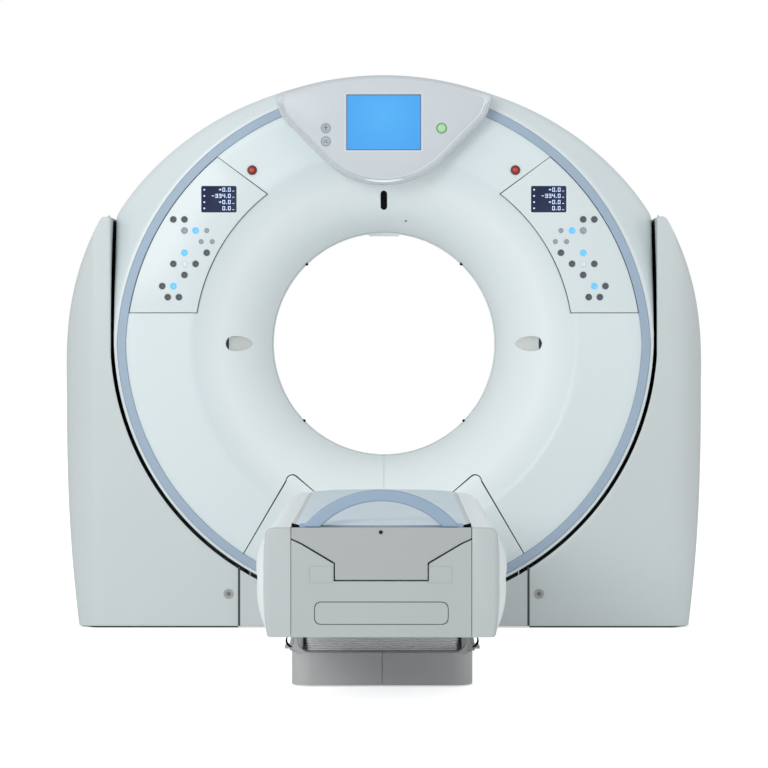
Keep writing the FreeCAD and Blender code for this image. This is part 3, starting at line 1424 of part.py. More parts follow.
def build_couchtop():
    low_y = "-(foot_y-end_thick)"
    high_y = "-(head_y+couchtop_setback)"
    body = new_body("cradle")
    rim = "cradle_half-cradle_lip"
    edge = "cradle_rim-cradle_edge"
    outline = [("-cradle_half", "cradle_rim"), ("-cradle_half", edge), ("-ledge_half", "cradle_floor"),
               ("ledge_half", "cradle_floor"), ("cradle_half", edge), ("cradle_half", "cradle_rim"),
               (rim, "cradle_rim"), via("0", "cradle_rim-cradle_dip"), (f"-({rim})", "cradle_rim")]
    pad(body, "cradle_shell", "XZ", [outline], low_y, high_y)
    for side in (-1, 1):
        runner = rectangle(f"{side}*(ledge_half+couch_seam)", f"{side}*(ledge_half+couch_seam+runner_wide)",
                           "ledge_z+fit_gap", "cradle_floor+couch_seam")
        pad(body, f"cradle_runner_{side + 1}", "XZ", [runner], low_y, high_y)
    piece(body, "couchtop")
    build_mattress(low_y, high_y)
    arch = [("-handle_foot_out", "couch_top"), via("0", "handle_top"),
            ("handle_foot_out", "couch_top"), ("handle_foot_in", "couch_top"),
            via("0", "handle_top-handle_band"), ("-handle_foot_in", "couch_top")]
    near = "-(foot_y-end_thick/2+handle_thick/2)"
    piece(solid_pad("handle_arch", "XZ", [arch], near, f"{near}+handle_thick"), "arch_handle")


def build_mattress(low_y, high_y):
    """A thin pad with a crowned top, round sides and rounded corners that lies in the cradle's hollow."""
    half = "(cradle_half-mattress_inset)"
    inner = f"({half}-mattress_edge)"
    above = "mattress_rim+mattress_edge/2"
    section = [
        (f"-{inner}", "cradle_rim+fit_gap"),
        via("0", "cradle_rim-cradle_dip+fit_gap"),
        (inner, "cradle_rim+fit_gap"),
        via(half, "mattress_rim-mattress_edge/3"),
        (inner, above),
        via("0", "mattress_crown"),
        (f"-{inner}", above),
        via(f"-{half}", "mattress_rim-mattress_edge/3"),
    ]
    near = f"{low_y}+mattress_setback"
    far = f"{high_y}-mattress_setback"
    strip = solid_pad("mattress_strip", "XZ", [section], near, far)
    corner = "mattress_corner"
    def side(sign, end, inwards):
        return [(f"{sign}*{half}", f"{end}{inwards}{corner}"),
                via(f"{sign}*({half}-{corner}*(1-sin(45)))", f"{end}{inwards}{corner}*(1-sin(45))"),
                (f"{sign}*({half}-{corner})", end)]
    plan = (side(1, near, "+")[::-1] + side(1, far, "-") + side(-1, far, "-")[::-1] + side(-1, near, "+"))
    outline = solid_pad("mattress_plan", "XY", [plan], "cradle_floor", "mattress_crown+overcut")
    piece(common("mattress_pad", [strip, outline]), "mattress")


# ---- the whole machine

def build_all():
    fill_sheet()
    solid = casing_solid()
    build_casing(solid)
    build_trim_ring()
    build_front()
    build_rear()
    build_bore_liner()
    build_controls()
    build_estops()
    build_hood(solid)
    build_rotor()
    build_drive()
    build_tilt_frame()
    room = build_stands()
    build_base_covers(room)
    build_floor_frame()
    build_tilt_drive()
    build_floor_duct()
    build_couch_base()
    build_couch_frame()
    build_side_covers()
    build_foot_end()
    build_couchtop()
    doc.recompute()


def check_and_write():
    for item in doc.Objects:
        if "Invalid" in item.State or "Error" in item.State:
            raise ValueError(f"{item.Name} failed: {item.State}")
    for item in pieces:
        if item.Shape.isNull() or not item.Shape.isValid() or not item.Shape.Solids:
            raise ValueError(f"{item.Label} has no valid shape")
    os.makedirs("parts", exist_ok=True)
    for item in pieces:
        item.Shape.exportStep(f"parts/{item.Label}.step")
    print(len(pieces), "pieces written")


build_all()
check_and_write()
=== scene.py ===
import json
import math
import bmesh
import bpy
import numpy as np
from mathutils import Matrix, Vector

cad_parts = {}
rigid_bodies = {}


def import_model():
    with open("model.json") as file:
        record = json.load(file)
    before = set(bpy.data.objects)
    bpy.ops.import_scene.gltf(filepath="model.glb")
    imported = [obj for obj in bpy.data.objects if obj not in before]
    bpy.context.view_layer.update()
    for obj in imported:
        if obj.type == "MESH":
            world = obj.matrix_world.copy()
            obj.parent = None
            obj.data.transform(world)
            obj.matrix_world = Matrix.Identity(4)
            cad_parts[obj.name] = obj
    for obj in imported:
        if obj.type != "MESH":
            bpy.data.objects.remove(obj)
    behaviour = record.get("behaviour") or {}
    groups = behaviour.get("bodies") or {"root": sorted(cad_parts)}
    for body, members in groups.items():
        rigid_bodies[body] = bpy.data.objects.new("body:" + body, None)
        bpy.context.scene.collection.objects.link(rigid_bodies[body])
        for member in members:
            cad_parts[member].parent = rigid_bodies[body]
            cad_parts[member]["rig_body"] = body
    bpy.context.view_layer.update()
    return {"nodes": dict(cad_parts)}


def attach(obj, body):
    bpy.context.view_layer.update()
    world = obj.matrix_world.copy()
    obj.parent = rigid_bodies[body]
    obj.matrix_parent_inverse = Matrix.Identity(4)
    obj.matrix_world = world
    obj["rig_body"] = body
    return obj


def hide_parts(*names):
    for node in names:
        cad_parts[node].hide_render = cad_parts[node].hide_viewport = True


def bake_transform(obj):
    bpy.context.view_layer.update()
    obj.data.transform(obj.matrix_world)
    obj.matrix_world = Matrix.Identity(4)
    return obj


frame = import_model()
nodes = frame["nodes"]
print("frame loaded:", len(nodes), "CAD nodes")

# shapes are worked out in millimetres, and their meshes are made in metres
milli = 0.001
axisUp = 965         # height of the tilt axis, which is the bore's middle, above the floor
front = -430         # the drum's flat front; its back is as far behind the axis
rightLeft = (("right", 1), ("left", -1))     # a side's word in the names, and the sign of its X
leftRight = rightLeft[::-1]


# colours and finishes

def tone(red, green, blue):
    # a screen colour (0 to 255) as the linear value that a shader takes
    share = np.array([red, green, blue]) / 255
    linear = np.where(share <= 0.04045, share / 12.92, ((share + 0.055) / 1.055) ** 2.4)
    return (*[float(v) for v in linear], 1.0)


def mixed(colour, other, amount):
    return tuple(a * (1 - amount) + b * amount for a, b in zip(colour, other))


moulded = dict(vary=0.02, rough=(0.36, 0.44), grain=240, height=0.02, coat=0.08)
finishes = {
    # colour, how far it varies, roughness low and high, grain per metre, height of the grain in mm, coat,
    # metal; a painted shading fade gives two places along Y and the colour at the first: the funnel gets
    # painted light past the flat front, the couch's foot-end faces get painted shade
    "housingWhite": dict(moulded, colour=tone(221, 232, 234), rough=(0.34, 0.42), grain=260, coat=0.12),
    # painted light: the funnel, apron and bore liner are painted paler than the flat front, which fades to the
    # housing's white, standing in for light that the funnel's shade takes away
    "funnelWhite": dict(moulded, colour=tone(240, 248, 249), vary=0.01, rough=(0.38, 0.46),
                        paintedShadingFade=(-0.429, -0.37, tone(221, 233, 235))),
    "rearWhite": dict(moulded, colour=tone(222, 233, 235), rough=(0.38, 0.46)),
    "standWhite": dict(moulded, colour=tone(206, 215, 216)),
    "baseWhite": dict(moulded, colour=tone(202, 209, 211)),
    "hoodWhite": dict(moulded, colour=tone(208, 216, 221), grain=260),
    "fasciaGrey": dict(moulded, colour=tone(205, 212, 218), grain=260),
    # painted shade: within 16 mm of the foot end the side covers fade to a darker grey, standing for the shade
    # on their foot-end faces, which are the same white plastic
    "couchWhite": dict(moulded, colour=tone(238, 246, 248), rough=(0.36, 0.46), grain=220, height=0.03,
                       paintedShadingFade=(-3.056, -3.04, tone(184, 191, 192))),
    "footGrey": dict(moulded, colour=tone(177, 184, 184), rough=(0.36, 0.46), grain=220, height=0.03),
    "endGrey": dict(moulded, colour=tone(169, 175, 175), rough=(0.36, 0.46), grain=220, height=0.03),
    "bedGrey": dict(colour=tone(214, 218, 215), vary=0.03, rough=(0.45, 0.6), grain=300, height=0.02),
    "seamGrey": dict(colour=tone(150, 156, 157), vary=0.05, rough=(0.5, 0.65), grain=300, height=0.02),
    "seamDark": dict(colour=tone(62, 66, 68), vary=0.08, rough=(0.6, 0.75), grain=300, height=0.02),
    "ringBlue": dict(colour=tone(160, 181, 202), vary=0.03, rough=(0.32, 0.42), grain=300, height=0.015,
                     coat=0.15),
    "handleBlue": dict(colour=tone(144, 167, 189), vary=0.04, rough=(0.40, 0.52), grain=420, height=0.04),
    "gapBlack": dict(colour=tone(14, 15, 17), vary=0.10, rough=(0.75, 0.9), grain=180, height=0.05, gloss=0.08),
    "keyDark": dict(colour=tone(84, 92, 98), vary=0.05, rough=(0.45, 0.6), grain=500, height=0.03),
    "keyGrey": dict(colour=tone(158, 170, 176), vary=0.04, rough=(0.42, 0.55), grain=500, height=0.03),
    "keyPale": dict(colour=tone(232, 238, 240), vary=0.03, rough=(0.40, 0.5), grain=500, height=0.02),
    "keyRim": dict(colour=tone(122, 130, 134), vary=0.05, rough=(0.4, 0.55), grain=500, height=0.02),
    "lampGrey": dict(colour=tone(172, 184, 196), vary=0.04, rough=(0.30, 0.42), grain=400, height=0.02,
                     coat=0.1),
    "stopRed": dict(colour=tone(206, 44, 40), vary=0.05, rough=(0.28, 0.38), grain=400, height=0.02, coat=0.2),
    "stopDark": dict(colour=tone(110, 40, 42), vary=0.06, rough=(0.35, 0.5), grain=400, height=0.02),
    "bellowsGrey": dict(colour=tone(250, 251, 251), vary=0.06, rough=(0.55, 0.75), grain=700, height=0.08),
    "baseGrey": dict(colour=tone(182, 184, 184), vary=0.03, rough=(0.42, 0.55), grain=500, height=0.06),
    "framePaint": dict(colour=tone(158, 164, 170), vary=0.06, rough=(0.45, 0.62), grain=260, height=0.06),
    "bareSteel": dict(colour=tone(170, 172, 176), vary=0.06, rough=(0.28, 0.46), grain=900, height=0.02,
                      metal=1.0),
    "castAluminium": dict(colour=tone(186, 189, 194), vary=0.07, rough=(0.38, 0.58), grain=420, height=0.05,
                          metal=1.0),
    "packPaint": dict(colour=tone(120, 126, 134), vary=0.06, rough=(0.5, 0.65), grain=320, height=0.05),
    "beltRubber": dict(colour=tone(44, 44, 46), vary=0.12, rough=(0.6, 0.8), grain=900, height=0.10),
    "cradleGrey": dict(colour=tone(208, 216, 222), vary=0.03, rough=(0.36, 0.5), grain=360, height=0.03),
    "padVinyl": dict(colour=tone(212, 229, 240), vary=0.035, rough=(0.42, 0.56), grain=900, height=0.10),
    "windowDark": dict(colour=tone(22, 23, 27), vary=0.08, rough=(0.30, 0.40), grain=200, height=0.01,
                       gloss=0.15),
    "lockMetal": dict(colour=tone(170, 172, 172), vary=0.05, rough=(0.30, 0.45), grain=600, height=0.02),
    "markGrey": dict(colour=tone(112, 116, 122), vary=0.05, rough=(0.45, 0.6), grain=500, height=0.02),
    "screenRim": dict(colour=tone(58, 92, 134), vary=0.05, rough=(0.4, 0.5), grain=400, height=0.02),
}
glows = {
    # colour and strength of the light, and where it isn't the usual, roughness and gloss
    "keyLit": dict(colour=tone(88, 176, 240), strength=0.75),
    "startGreen": dict(colour=tone(170, 226, 176), strength=0.25),
    "ringGreen": dict(colour=tone(120, 176, 112), strength=0.15),
    "digitPale": dict(colour=tone(196, 216, 240), strength=0.8),
    "displayNavy": dict(colour=tone(6, 24, 62), strength=0.5, rough=0.4, gloss=0.08),
}
surface = dict(black=(0, 0, 0, 1), white=(1, 1, 1, 1), cloudScale=2.3, cloudDetail=3.0, fineDetail=2.0,
               darkAt=0.3, lightAt=0.7, lighter=0.6, relief=0.35, coatRough=0.15,
               glowScale=9.0, glowUnder=0.25, glowDark=0.12, glowLight=0.10)


def addNode(tree, kind, settings, *feeds):
    # a shader node with its inputs set by name, and fed by pairs of an output and an input's name
    node = tree.nodes.new("ShaderNode" + kind)
    for name, value in settings.items():
        node.inputs[name].default_value = value
    for output, name in feeds:
        tree.links.new(output, node.inputs[name])
    return node


def addRamp(tree, source, dark, light, darkAt=0.0, lightAt=1.0):
    # a colour between two others, by an output that runs from 0 to 1
    ramp = addNode(tree, "ValToRGB", {}, (source, "Fac"))
    for stop, colour, place in zip(ramp.color_ramp.elements, (dark, light), (darkAt, lightAt)):
        stop.color, stop.position = colour, place
    return ramp.outputs["Color"]


def newMaterial(name):
    material = bpy.data.materials.new(name)
    material.use_nodes = True
    return material, material.node_tree, material.node_tree.nodes["Principled BSDF"]


def makeFinish(name, colour, vary, rough, grain, height, coat=0.0, metal=0.0, paintedShadingFade=None, gloss=0.5):
    # slow noise shifts the colour a little, fine noise sets the gloss and a small relief, and a painted shading
    # fade turns the colour into another one along Y: painted light into the funnel, painted shade at the
    # couch's foot
    material, tree, shader = newMaterial(name)
    place = addNode(tree, "TexCoord", {}).outputs["Object"]
    cloud = addNode(tree, "TexNoise", {"Scale": surface["cloudScale"], "Detail": surface["cloudDetail"]},
                    (place, "Vector")).outputs["Fac"]
    fine = addNode(tree, "TexNoise", {"Scale": grain, "Detail": surface["fineDetail"]},
                   (place, "Vector")).outputs["Fac"]
    dark = mixed(colour, surface["black"], vary)
    light = mixed(colour, surface["white"], vary * surface["lighter"] * max(colour[:3]))
    colours = addRamp(tree, cloud, dark, light, surface["darkAt"], surface["lightAt"])
    if paintedShadingFade:
        depth = addNode(tree, "SeparateXYZ", {}, (place, "Vector")).outputs["Y"]
        share = addNode(tree, "MapRange", {"From Min": paintedShadingFade[0], "From Max": paintedShadingFade[1]}, (depth, "Value"))
        colours = addNode(tree, "MixRGB", {"Color1": paintedShadingFade[2]}, (share.outputs["Result"], "Fac"),
                          (colours, "Color2")).outputs["Color"]
    spread = addNode(tree, "MapRange", {"To Min": rough[0], "To Max": rough[1]}, (fine, "Value"))
    relief = addNode(tree, "Bump", {"Strength": surface["relief"], "Distance": height * milli},
                     (fine, "Height"))
    tree.links.new(colours, shader.inputs["Base Color"])
    tree.links.new(spread.outputs["Result"], shader.inputs["Roughness"])
    tree.links.new(relief.outputs["Normal"], shader.inputs["Normal"])
    shader.inputs["Metallic"].default_value = metal
    shader.inputs["Specular IOR Level"].default_value = gloss
    shader.inputs["Coat Weight"].default_value = coat
    shader.inputs["Coat Roughness"].default_value = surface["coatRough"]
    return material


def lightUp(material, colours, strength):
    shader = material.node_tree.nodes["Principled BSDF"]
    material.node_tree.links.new(colours, shader.inputs["Emission Color"])
    shader.inputs["Emission Strength"].default_value = strength
    return material


def makeGlow(name, colour, strength, rough=0.2, gloss=0.5):
    # a lit cap or screen: its own colour with a soft uneven glow
    under = mixed(colour, surface["black"], surface["glowUnder"])
    material = makeFinish(name, under, 0.03, (rough, rough + 0.1), 300, 0.01, gloss=gloss)
    tree = material.node_tree
    place = addNode(tree, "TexCoord", {}).outputs["Object"]
    cloud = addNode(tree, "TexNoise", {"Scale": surface["glowScale"]}, (place, "Vector"))
    colours = addRamp(tree, cloud.outputs["Fac"], mixed(colour, surface["black"], surface["glowDark"]),
                      mixed(colour, surface["white"], surface["glowLight"]))
    return lightUp(material, colours, strength)


def makeScreen(name, under, middle, reach, centre, edge, strength):
    # a lit screen: pale round a point on it and deeper towards its edges, by the distance to that point
    material = makeFinish(name, under, 0.02, (0.30, 0.38), 200, 0.005, gloss=0.15)
    tree = material.node_tree
    place = addNode(tree, "TexCoord", {}).outputs["Object"]
    shift = addNode(tree, "Mapping", {"Location": [-middle[0], 0, -middle[1]]}, (place, "Vector"))
    flat = addNode(tree, "VectorMath", {1: (1, 0, 1)}, (shift.outputs["Vector"], 0))
    flat.operation = "MULTIPLY"
    distance = addNode(tree, "VectorMath", {}, (flat.outputs["Vector"], 0))
    distance.operation = "LENGTH"
    spread = addNode(tree, "MapRange", {"From Max": reach}, (distance.outputs["Value"], "Value"))
    return lightUp(material, addRamp(tree, spread.outputs["Result"], centre, edge), strength)


paint = {name: makeFinish(name, **settings) for name, settings in finishes.items()}
paint.update({name: makeGlow(name, **settings) for name, settings in glows.items()})
print("finishes made:", len(paint))


# outlines

def arcPoints(start, middle, end, step):
    # points of the circle through three points, evenly by angle, without the last one
    (ax, ay), (bx, by), (cx, cy) = start, middle, end
    turn = 2 * (ax * (by - cy) + bx * (cy - ay) + cx * (ay - by))
    ux = ((ax**2 + ay**2) * (by - cy) + (bx**2 + by**2) * (cy - ay) + (cx**2 + cy**2) * (ay - by)) / turn
    uy = ((ax**2 + ay**2) * (cx - bx) + (bx**2 + by**2) * (ax - cx) + (cx**2 + cy**2) * (bx - ax)) / turn
    radius = math.hypot(ax - ux, ay - uy)
    first = math.atan2(ay - uy, ax - ux)
    between = (math.atan2(by - uy, bx - ux) - first) % (2 * math.pi)
    last = (math.atan2(cy - uy, cx - ux) - first) % (2 * math.pi)
    if between > last:
        last -= 2 * math.pi
    count = max(4, int(abs(last) * radius / step))
    angles = first + last * np.arange(count) / count
    return np.stack([ux + radius * np.cos(angles), uy + radius * np.sin(angles)], 1)


def outline(steps, step=12.0):
    # closed outline: straight runs between points, and arcs where a ("via", x, y) stands between two of them
    corners = [place for place, item in enumerate(steps) if item[0] != "via"]
    parts = []
    for order, place in enumerate(corners):
        end = steps[corners[(order + 1) % len(corners)]]
        between = steps[(place + 1) % len(steps)]
        if between[0] == "via":
            parts.append(arcPoints(steps[place], between[1:], end, step))
        else:
            parts.append(np.array([steps[place]], float))
    return np.concatenate(parts)


def roundCorners(points, radius, steps=4):
    # every corner of a polygon becomes a short quadratic curve between the two cut-back points
    points = np.array(points, float)
    before = np.roll(points, 1, 0) - points
    after = np.roll(points, -1, 0) - points
    beforeLong, afterLong = np.linalg.norm(before, axis=1), np.linalg.norm(after, axis=1)
    reach = np.minimum(radius, 0.45 * np.minimum(beforeLong, afterLong))
    start = points + before / beforeLong[:, None] * reach[:, None]
    end = points + after / afterLong[:, None] * reach[:, None]
    t = np.linspace(0, 1, steps + 1)[None, :, None]
    curve = start[:, None] * (1 - t) ** 2 + points[:, None] * 2 * t * (1 - t) + end[:, None] * t**2
    return curve.reshape(-1, 2)


def boxLoop(left, right, low, high, radius=0.0, steps=5):
    corners = [(left, low), (right, low), (right, high), (left, high)]
    return roundCorners(corners, radius, steps) if radius else np.array(corners, float)


def circleLoop(radius, across, up, count=48):
    # a circle of a given number of points
    turn = 2 * math.pi * np.arange(count) / count
    return np.stack([across + radius * np.cos(turn), up + radius * np.sin(turn)], 1)


def roundLoop(radius, across, up, step=3.0):
    # a circle whose points lie about a step apart
    return outline([(across - radius, up), ("via", across, up + radius), (across + radius, up),
                    ("via", across, up - radius)], step)


def area(points):
    x, y = points[:, 0], points[:, 1]
    return 0.5 * float(np.sum(x * np.roll(y, -1) - np.roll(x, -1) * y))


def inset(points, amount):
    # each point of a closed outline moves inwards along the middle of its two edges' normals
    if abs(amount) < 1e-9:
        return points
    edge = np.roll(points, -1, 0) - points
    edge /= np.maximum(np.linalg.norm(edge, axis=1), 1e-9)[:, None]
    normal = np.stack([-edge[:, 1], edge[:, 0]], 1) * (1 if area(points) > 0 else -1)
    middle = normal + np.roll(normal, 1, 0)
    length = np.maximum(np.linalg.norm(middle, axis=1), 0.35)
    return points + middle / length[:, None] ** 2 * 2 * amount


def mirrored(loop, side):
    # the outline itself on the right (1), and its mirror image on the left (-1)
    return loop * np.array([side, 1])


def toSpace(flat, level, axis):
    # a flat outline put in space: its plane is crossed by the named axis at the level
    first, second = flat[:, 0], flat[:, 1]
    fixed = np.full(len(flat), float(level))
    if axis == "Y":
        return np.stack([first, fixed, second], 1)
    if axis == "X":
        return np.stack([fixed, first, second], 1)
    return np.stack([first, second, fixed], 1)


# meshes

def linked(name, mesh):
    thing = bpy.data.objects.new(name, mesh)
    bpy.context.scene.collection.objects.link(thing)
    return thing


def meshOf(name, points, faces, merge=0.02):
    # millimetres become metres, doubles are merged and the faces are turned outwards
    mesh = bpy.data.meshes.new(name)
    mesh.from_pydata((np.asarray(points) * milli).tolist(), [], faces)
    work = bmesh.new()
    work.from_mesh(mesh)
    bmesh.ops.remove_doubles(work, verts=work.verts, dist=merge * milli)
    bmesh.ops.recalc_face_normals(work, faces=work.faces)
    work.to_mesh(mesh)
    work.free()
    return linked(name, mesh)


def gridFaces(rows, columns, wrapRows=False, wrapColumns=True):
    # four-cornered faces between neighbouring rows and columns of a grid
    down = np.arange(rows if wrapRows else rows - 1)
    across = np.arange(columns if wrapColumns else columns - 1)
    r, c = np.meshgrid(down, across, indexing="ij")
    nextRow, nextColumn = (r + 1) % rows, (c + 1) % columns
    faces = np.stack([r * columns + c, r * columns + nextColumn,
                      nextRow * columns + nextColumn, nextRow * columns + c], -1)
    return faces.reshape(-1, 4).tolist()


def cappedFaces(rows, columns):
    # a tube's faces, and one flat face at each of its ends
    last = (rows - 1) * columns
    return gridFaces(rows, columns) + [list(range(columns)), list(range(last, last + columns))]


def smoothOver(thing, degrees=32):
    thing.data.polygons.foreach_set("use_smooth", [True] * len(thing.data.polygons))
    thing.data.set_sharp_from_angle(angle=math.radians(degrees))
    thing.data.update()


def dress(thing, body, finish, stands=()):
    thing.data.materials.clear()
    thing.data.materials.append(paint[finish])
    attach(thing, body)
    if stands:
        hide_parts(*stands)
    return thing


def slab(name, loop, low, high, axis="Y", rounding=1.5, steps=3):
    # a plate: the outline carried along the axis, drawn in at both ends by a quarter circle of the rounding
    turn = np.linspace(0, math.pi / 2, steps + 1) if rounding > 0 else np.array([math.pi / 2])
    edge = list(zip(rounding * (1 - np.cos(turn)), rounding * (1 - np.sin(turn))))
    levels = [(low + deep, drawn) for deep, drawn in edge]
    levels += [(high - deep, drawn) for deep, drawn in edge[::-1]]
    rows = [toSpace(inset(loop, drawn), level, axis) for level, drawn in levels]
    return meshOf(name, np.concatenate(rows), cappedFaces(len(rows), len(loop)))


def band(name, loops, levels, axis="Y"):
    # a closed tube round an opening: outlines of equally many points, each at its own level, joined in turn
    rows = [toSpace(loop, level, axis) for loop, level in zip(loops, levels)]
    return meshOf(name, np.concatenate(rows), gridFaces(len(rows), len(loops[0]), True, True))


def lathe(name, profile, across, up, count=24, level=0, radius=0):
    # round about a line along the bore: each step of the profile is a distance from that line, counted from the
    # radius, and a depth, counted from the level
    turn = 2 * math.pi * (np.arange(count) + 0.5) / count
    rows = [np.stack([across + (radius + far) * np.cos(turn), np.full(count, float(level + deep)),
                      up + (radius + far) * np.sin(turn)], 1) for far, deep in profile]
    return meshOf(name, np.concatenate(rows), cappedFaces(len(rows), count))


def joined(name, things):
    # several shapes become one object
    work = bmesh.new()
    for thing in things:
        work.from_mesh(thing.data)
        bpy.data.objects.remove(thing)
    mesh = bpy.data.meshes.new(name)
    work.to_mesh(mesh)
    work.free()
    return linked(name, mesh)


def carve(thing, cutters, operation="DIFFERENCE"):
    # cuts the other shapes out of the first, or keeps only what they share, and throws the tools away
    for cutter in cutters:
        step = thing.modifiers.new("carve", "BOOLEAN")
        step.object = cutter
        step.operation = operation
        step.solver = "EXACT"
    bpy.context.view_layer.update()
    ready = thing.evaluated_get(bpy.context.evaluated_depsgraph_get())
    mesh = bpy.data.meshes.new_from_object(ready)
    thing.modifiers.clear()
    thing.data = mesh
    for cutter in cutters:
        bpy.data.objects.remove(cutter)
    return thing


def walled(thing, thickness, offset):
    # an open surface gets a wall: half on each side (0), or all of it behind the surface (-1)
    wall = thing.modifiers.new("wall", "SOLIDIFY")
    wall.thickness = thickness * milli
    wall.offset = offset
    return thing


def softened(node, finish, width, segments=2, angle=32):
    # a merged copy of a CAD node whose sharp edges are rounded to the width in millimetres
    work = bmesh.new()
    work.from_mesh(nodes[node].data)
    bmesh.ops.remove_doubles(work, verts=work.verts, dist=1e-5)
    bmesh.ops.dissolve_limit(work, angle_limit=math.radians(0.4), verts=work.verts, edges=work.edges)
    mesh = bpy.data.meshes.new(node + "_dressed")
    work.to_mesh(mesh)
    work.free()
    thing = linked(node + "_dressed", mesh)
    rim = thing.modifiers.new("edges", "BEVEL")
    rim.width = width * milli
    rim.segments = segments
    rim.limit_method = "ANGLE"
    rim.angle_limit = math.radians(angle)
    rim.harden_normals = True
    mesh.polygons.foreach_set("use_smooth", [True] * len(mesh.polygons))
    mesh.set_sharp_from_angle(angle=math.radians(angle))
    return dress(thing, nodes[node]["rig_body"], finish, [node])


# camera, floor and light

view = dict(place=(0.027, -11.64, 0.955), lens=154.7, sensor=36, down=0.651, left=0.134)
cameraData = bpy.data.cameras.new("photoCamera")
cameraData.lens = view["lens"]
cameraData.sensor_width = view["sensor"]
camera = linked("photoCamera", cameraData)
camera.location = view["place"]
camera.rotation_euler = (math.radians(90 - view["down"]), 0, math.radians(view["left"]))
bpy.context.scene.camera = camera
bpy.context.scene.view_settings.view_transform = "Standard"

room = dict(half=60000, level=-1, floorTone=0.93, floorRough=0.9, floorGloss=0.1, floorLift=0.62,
            worldLight=0.60)
floorLoop = boxLoop(-room["half"], room["half"], -room["half"], room["half"])
floor = meshOf("floor", toSpace(floorLoop, room["level"], "Z"), [[0, 1, 2, 3]])
if floor.data.polygons[0].normal.z < 0:
    floor.data.flip_normals()
floorPaint, floorTree, floorShader = newMaterial("floorPale")
floorShader.inputs["Base Color"].default_value = (room["floorTone"],) * 3 + (1,)
floorShader.inputs["Roughness"].default_value = room["floorRough"]
floorShader.inputs["Specular IOR Level"].default_value = room["floorGloss"]
floorShader.inputs["Emission Color"].default_value = surface["white"]
rays = addNode(floorTree, "LightPath", {}).outputs
lift = addNode(floorTree, "Math", {1: room["floorLift"]}, (rays["Is Camera Ray"], 0))
lift.operation = "MULTIPLY"
floorTree.links.new(lift.outputs["Value"], floorShader.inputs["Emission Strength"])
floor.data.materials.append(floorPaint)

world = bpy.data.worlds.new("studioWorld")
bpy.context.scene.world = world
world.use_nodes = True
sky = world.node_tree.nodes["Background"]
sky.inputs["Color"].default_value = surface["white"]
rays = addNode(world.node_tree, "LightPath", {}).outputs
seen = addNode(world.node_tree, "Math", {}, (rays["Is Camera Ray"], 0), (rays["Is Transmission Ray"], 1))
seen.operation = "MAXIMUM"
strength = addNode(world.node_tree, "MapRange", {"To Min": room["worldLight"], "To Max": 1.0},
                   (seen.outputs["Value"], "Value"))
world.node_tree.links.new(strength.outputs["Result"], sky.inputs["Strength"])

lamps = {
    # place, the point it faces, width and height in metres, power in watts
    "softboxFront": ((-3.6, -10.5, 3.4), (0, -0.6, 0.9), (4, 3), 300),
    "softboxAbove": ((-1.8, -4.0, 6.5), (0, -0.6, 0.9), (5, 4), 20),
    "softboxLeft": ((-6.5, -5.5, 2.6), (0, -0.5, 1.0), (3, 4), 35),
    "softboxRight": ((6.5, -4.5, 2.2), (0, -0.8, 0.9), (3, 4), 45),
}
for name, (place, aim, size, power) in lamps.items():
    light = bpy.data.lights.new(name, "AREA")
    light.shape = "RECTANGLE"
    light.size, light.size_y = size
    light.energy = power
    lamp = linked(name, light)
    lamp.location = place
    lamp.rotation_euler = (Vector(aim) - Vector(place)).to_track_quat("-Z", "Y").to_euler()
print("camera, floor and light are set")


# the drum's outlines, by angle round the tilt axis

drumRim = dict(wide=917, top=881, bottom=895, flat=825, lip=11, ring=29, gap=0.3)
behindRing = drumRim["lip"] + drumRim["ring"] + drumRim["gap"]      # how far the front cover is drawn in


def circlePolar(angle, radius, up):
    # distance from the axis to a circle whose middle lies up above it, in the direction of the angle
    lean = up * np.sin(angle)
    return lean + np.sqrt(lean**2 - up**2 + radius**2)


def arcRadius(wide, tall):
    # radius of the arc through a top point and both ends of the level line at the axis
    return (wide**2 + tall**2) / (2 * tall)


def rimPolar(angle, drawn):
    # the rim's two arcs, each through both sides and its own top or bottom, drawn in by an amount
    wide, top, bottom = drumRim["wide"] - drawn, drumRim["top"] - drawn, drumRim["bottom"] - drawn
    above, below = arcRadius(wide, top), arcRadius(wide, bottom)
    upper = circlePolar(angle, above, top - above)
    lower = circlePolar(angle, below, below - bottom)
    found = np.where(np.sin(angle) >= 0, upper, lower)
    flat = (drumRim["flat"] - drawn) / np.maximum(-np.sin(angle), 1e-3)
    return np.where(np.sin(angle) < 0, np.minimum(found, flat), found)


def polarOf(loop, angle):
    # distance to a closed outline in each direction, read between its own points
    own = np.arctan2(loop[:, 1], loop[:, 0])
    far = np.hypot(loop[:, 0], loop[:, 1])
    order = np.argsort(own)
    return np.interp(angle, own[order], far[order], period=2 * math.pi)


def softLess(a, b, width):
    # the smaller of two values with a rounded changeover of about this width
    share = np.clip(0.5 + 0.5 * (b - a) / width, 0, 1)
    return b * (1 - share) + a * share - width * share * (1 - share)


def ringMesh(name, rows, angle):
    # rows of points round the axis: each has its own distance from the axis, for every angle, and its own depth
    points = [np.stack([far * np.cos(angle), np.full(len(angle), float(deep)), axisUp + far * np.sin(angle)], 1)
              for far, deep in rows]
    return meshOf(name, np.concatenate(points), gridFaces(len(points), len(angle), True, True))


# casing: straight sides, arched top, and a cone-shaped chamfer towards the front and the back

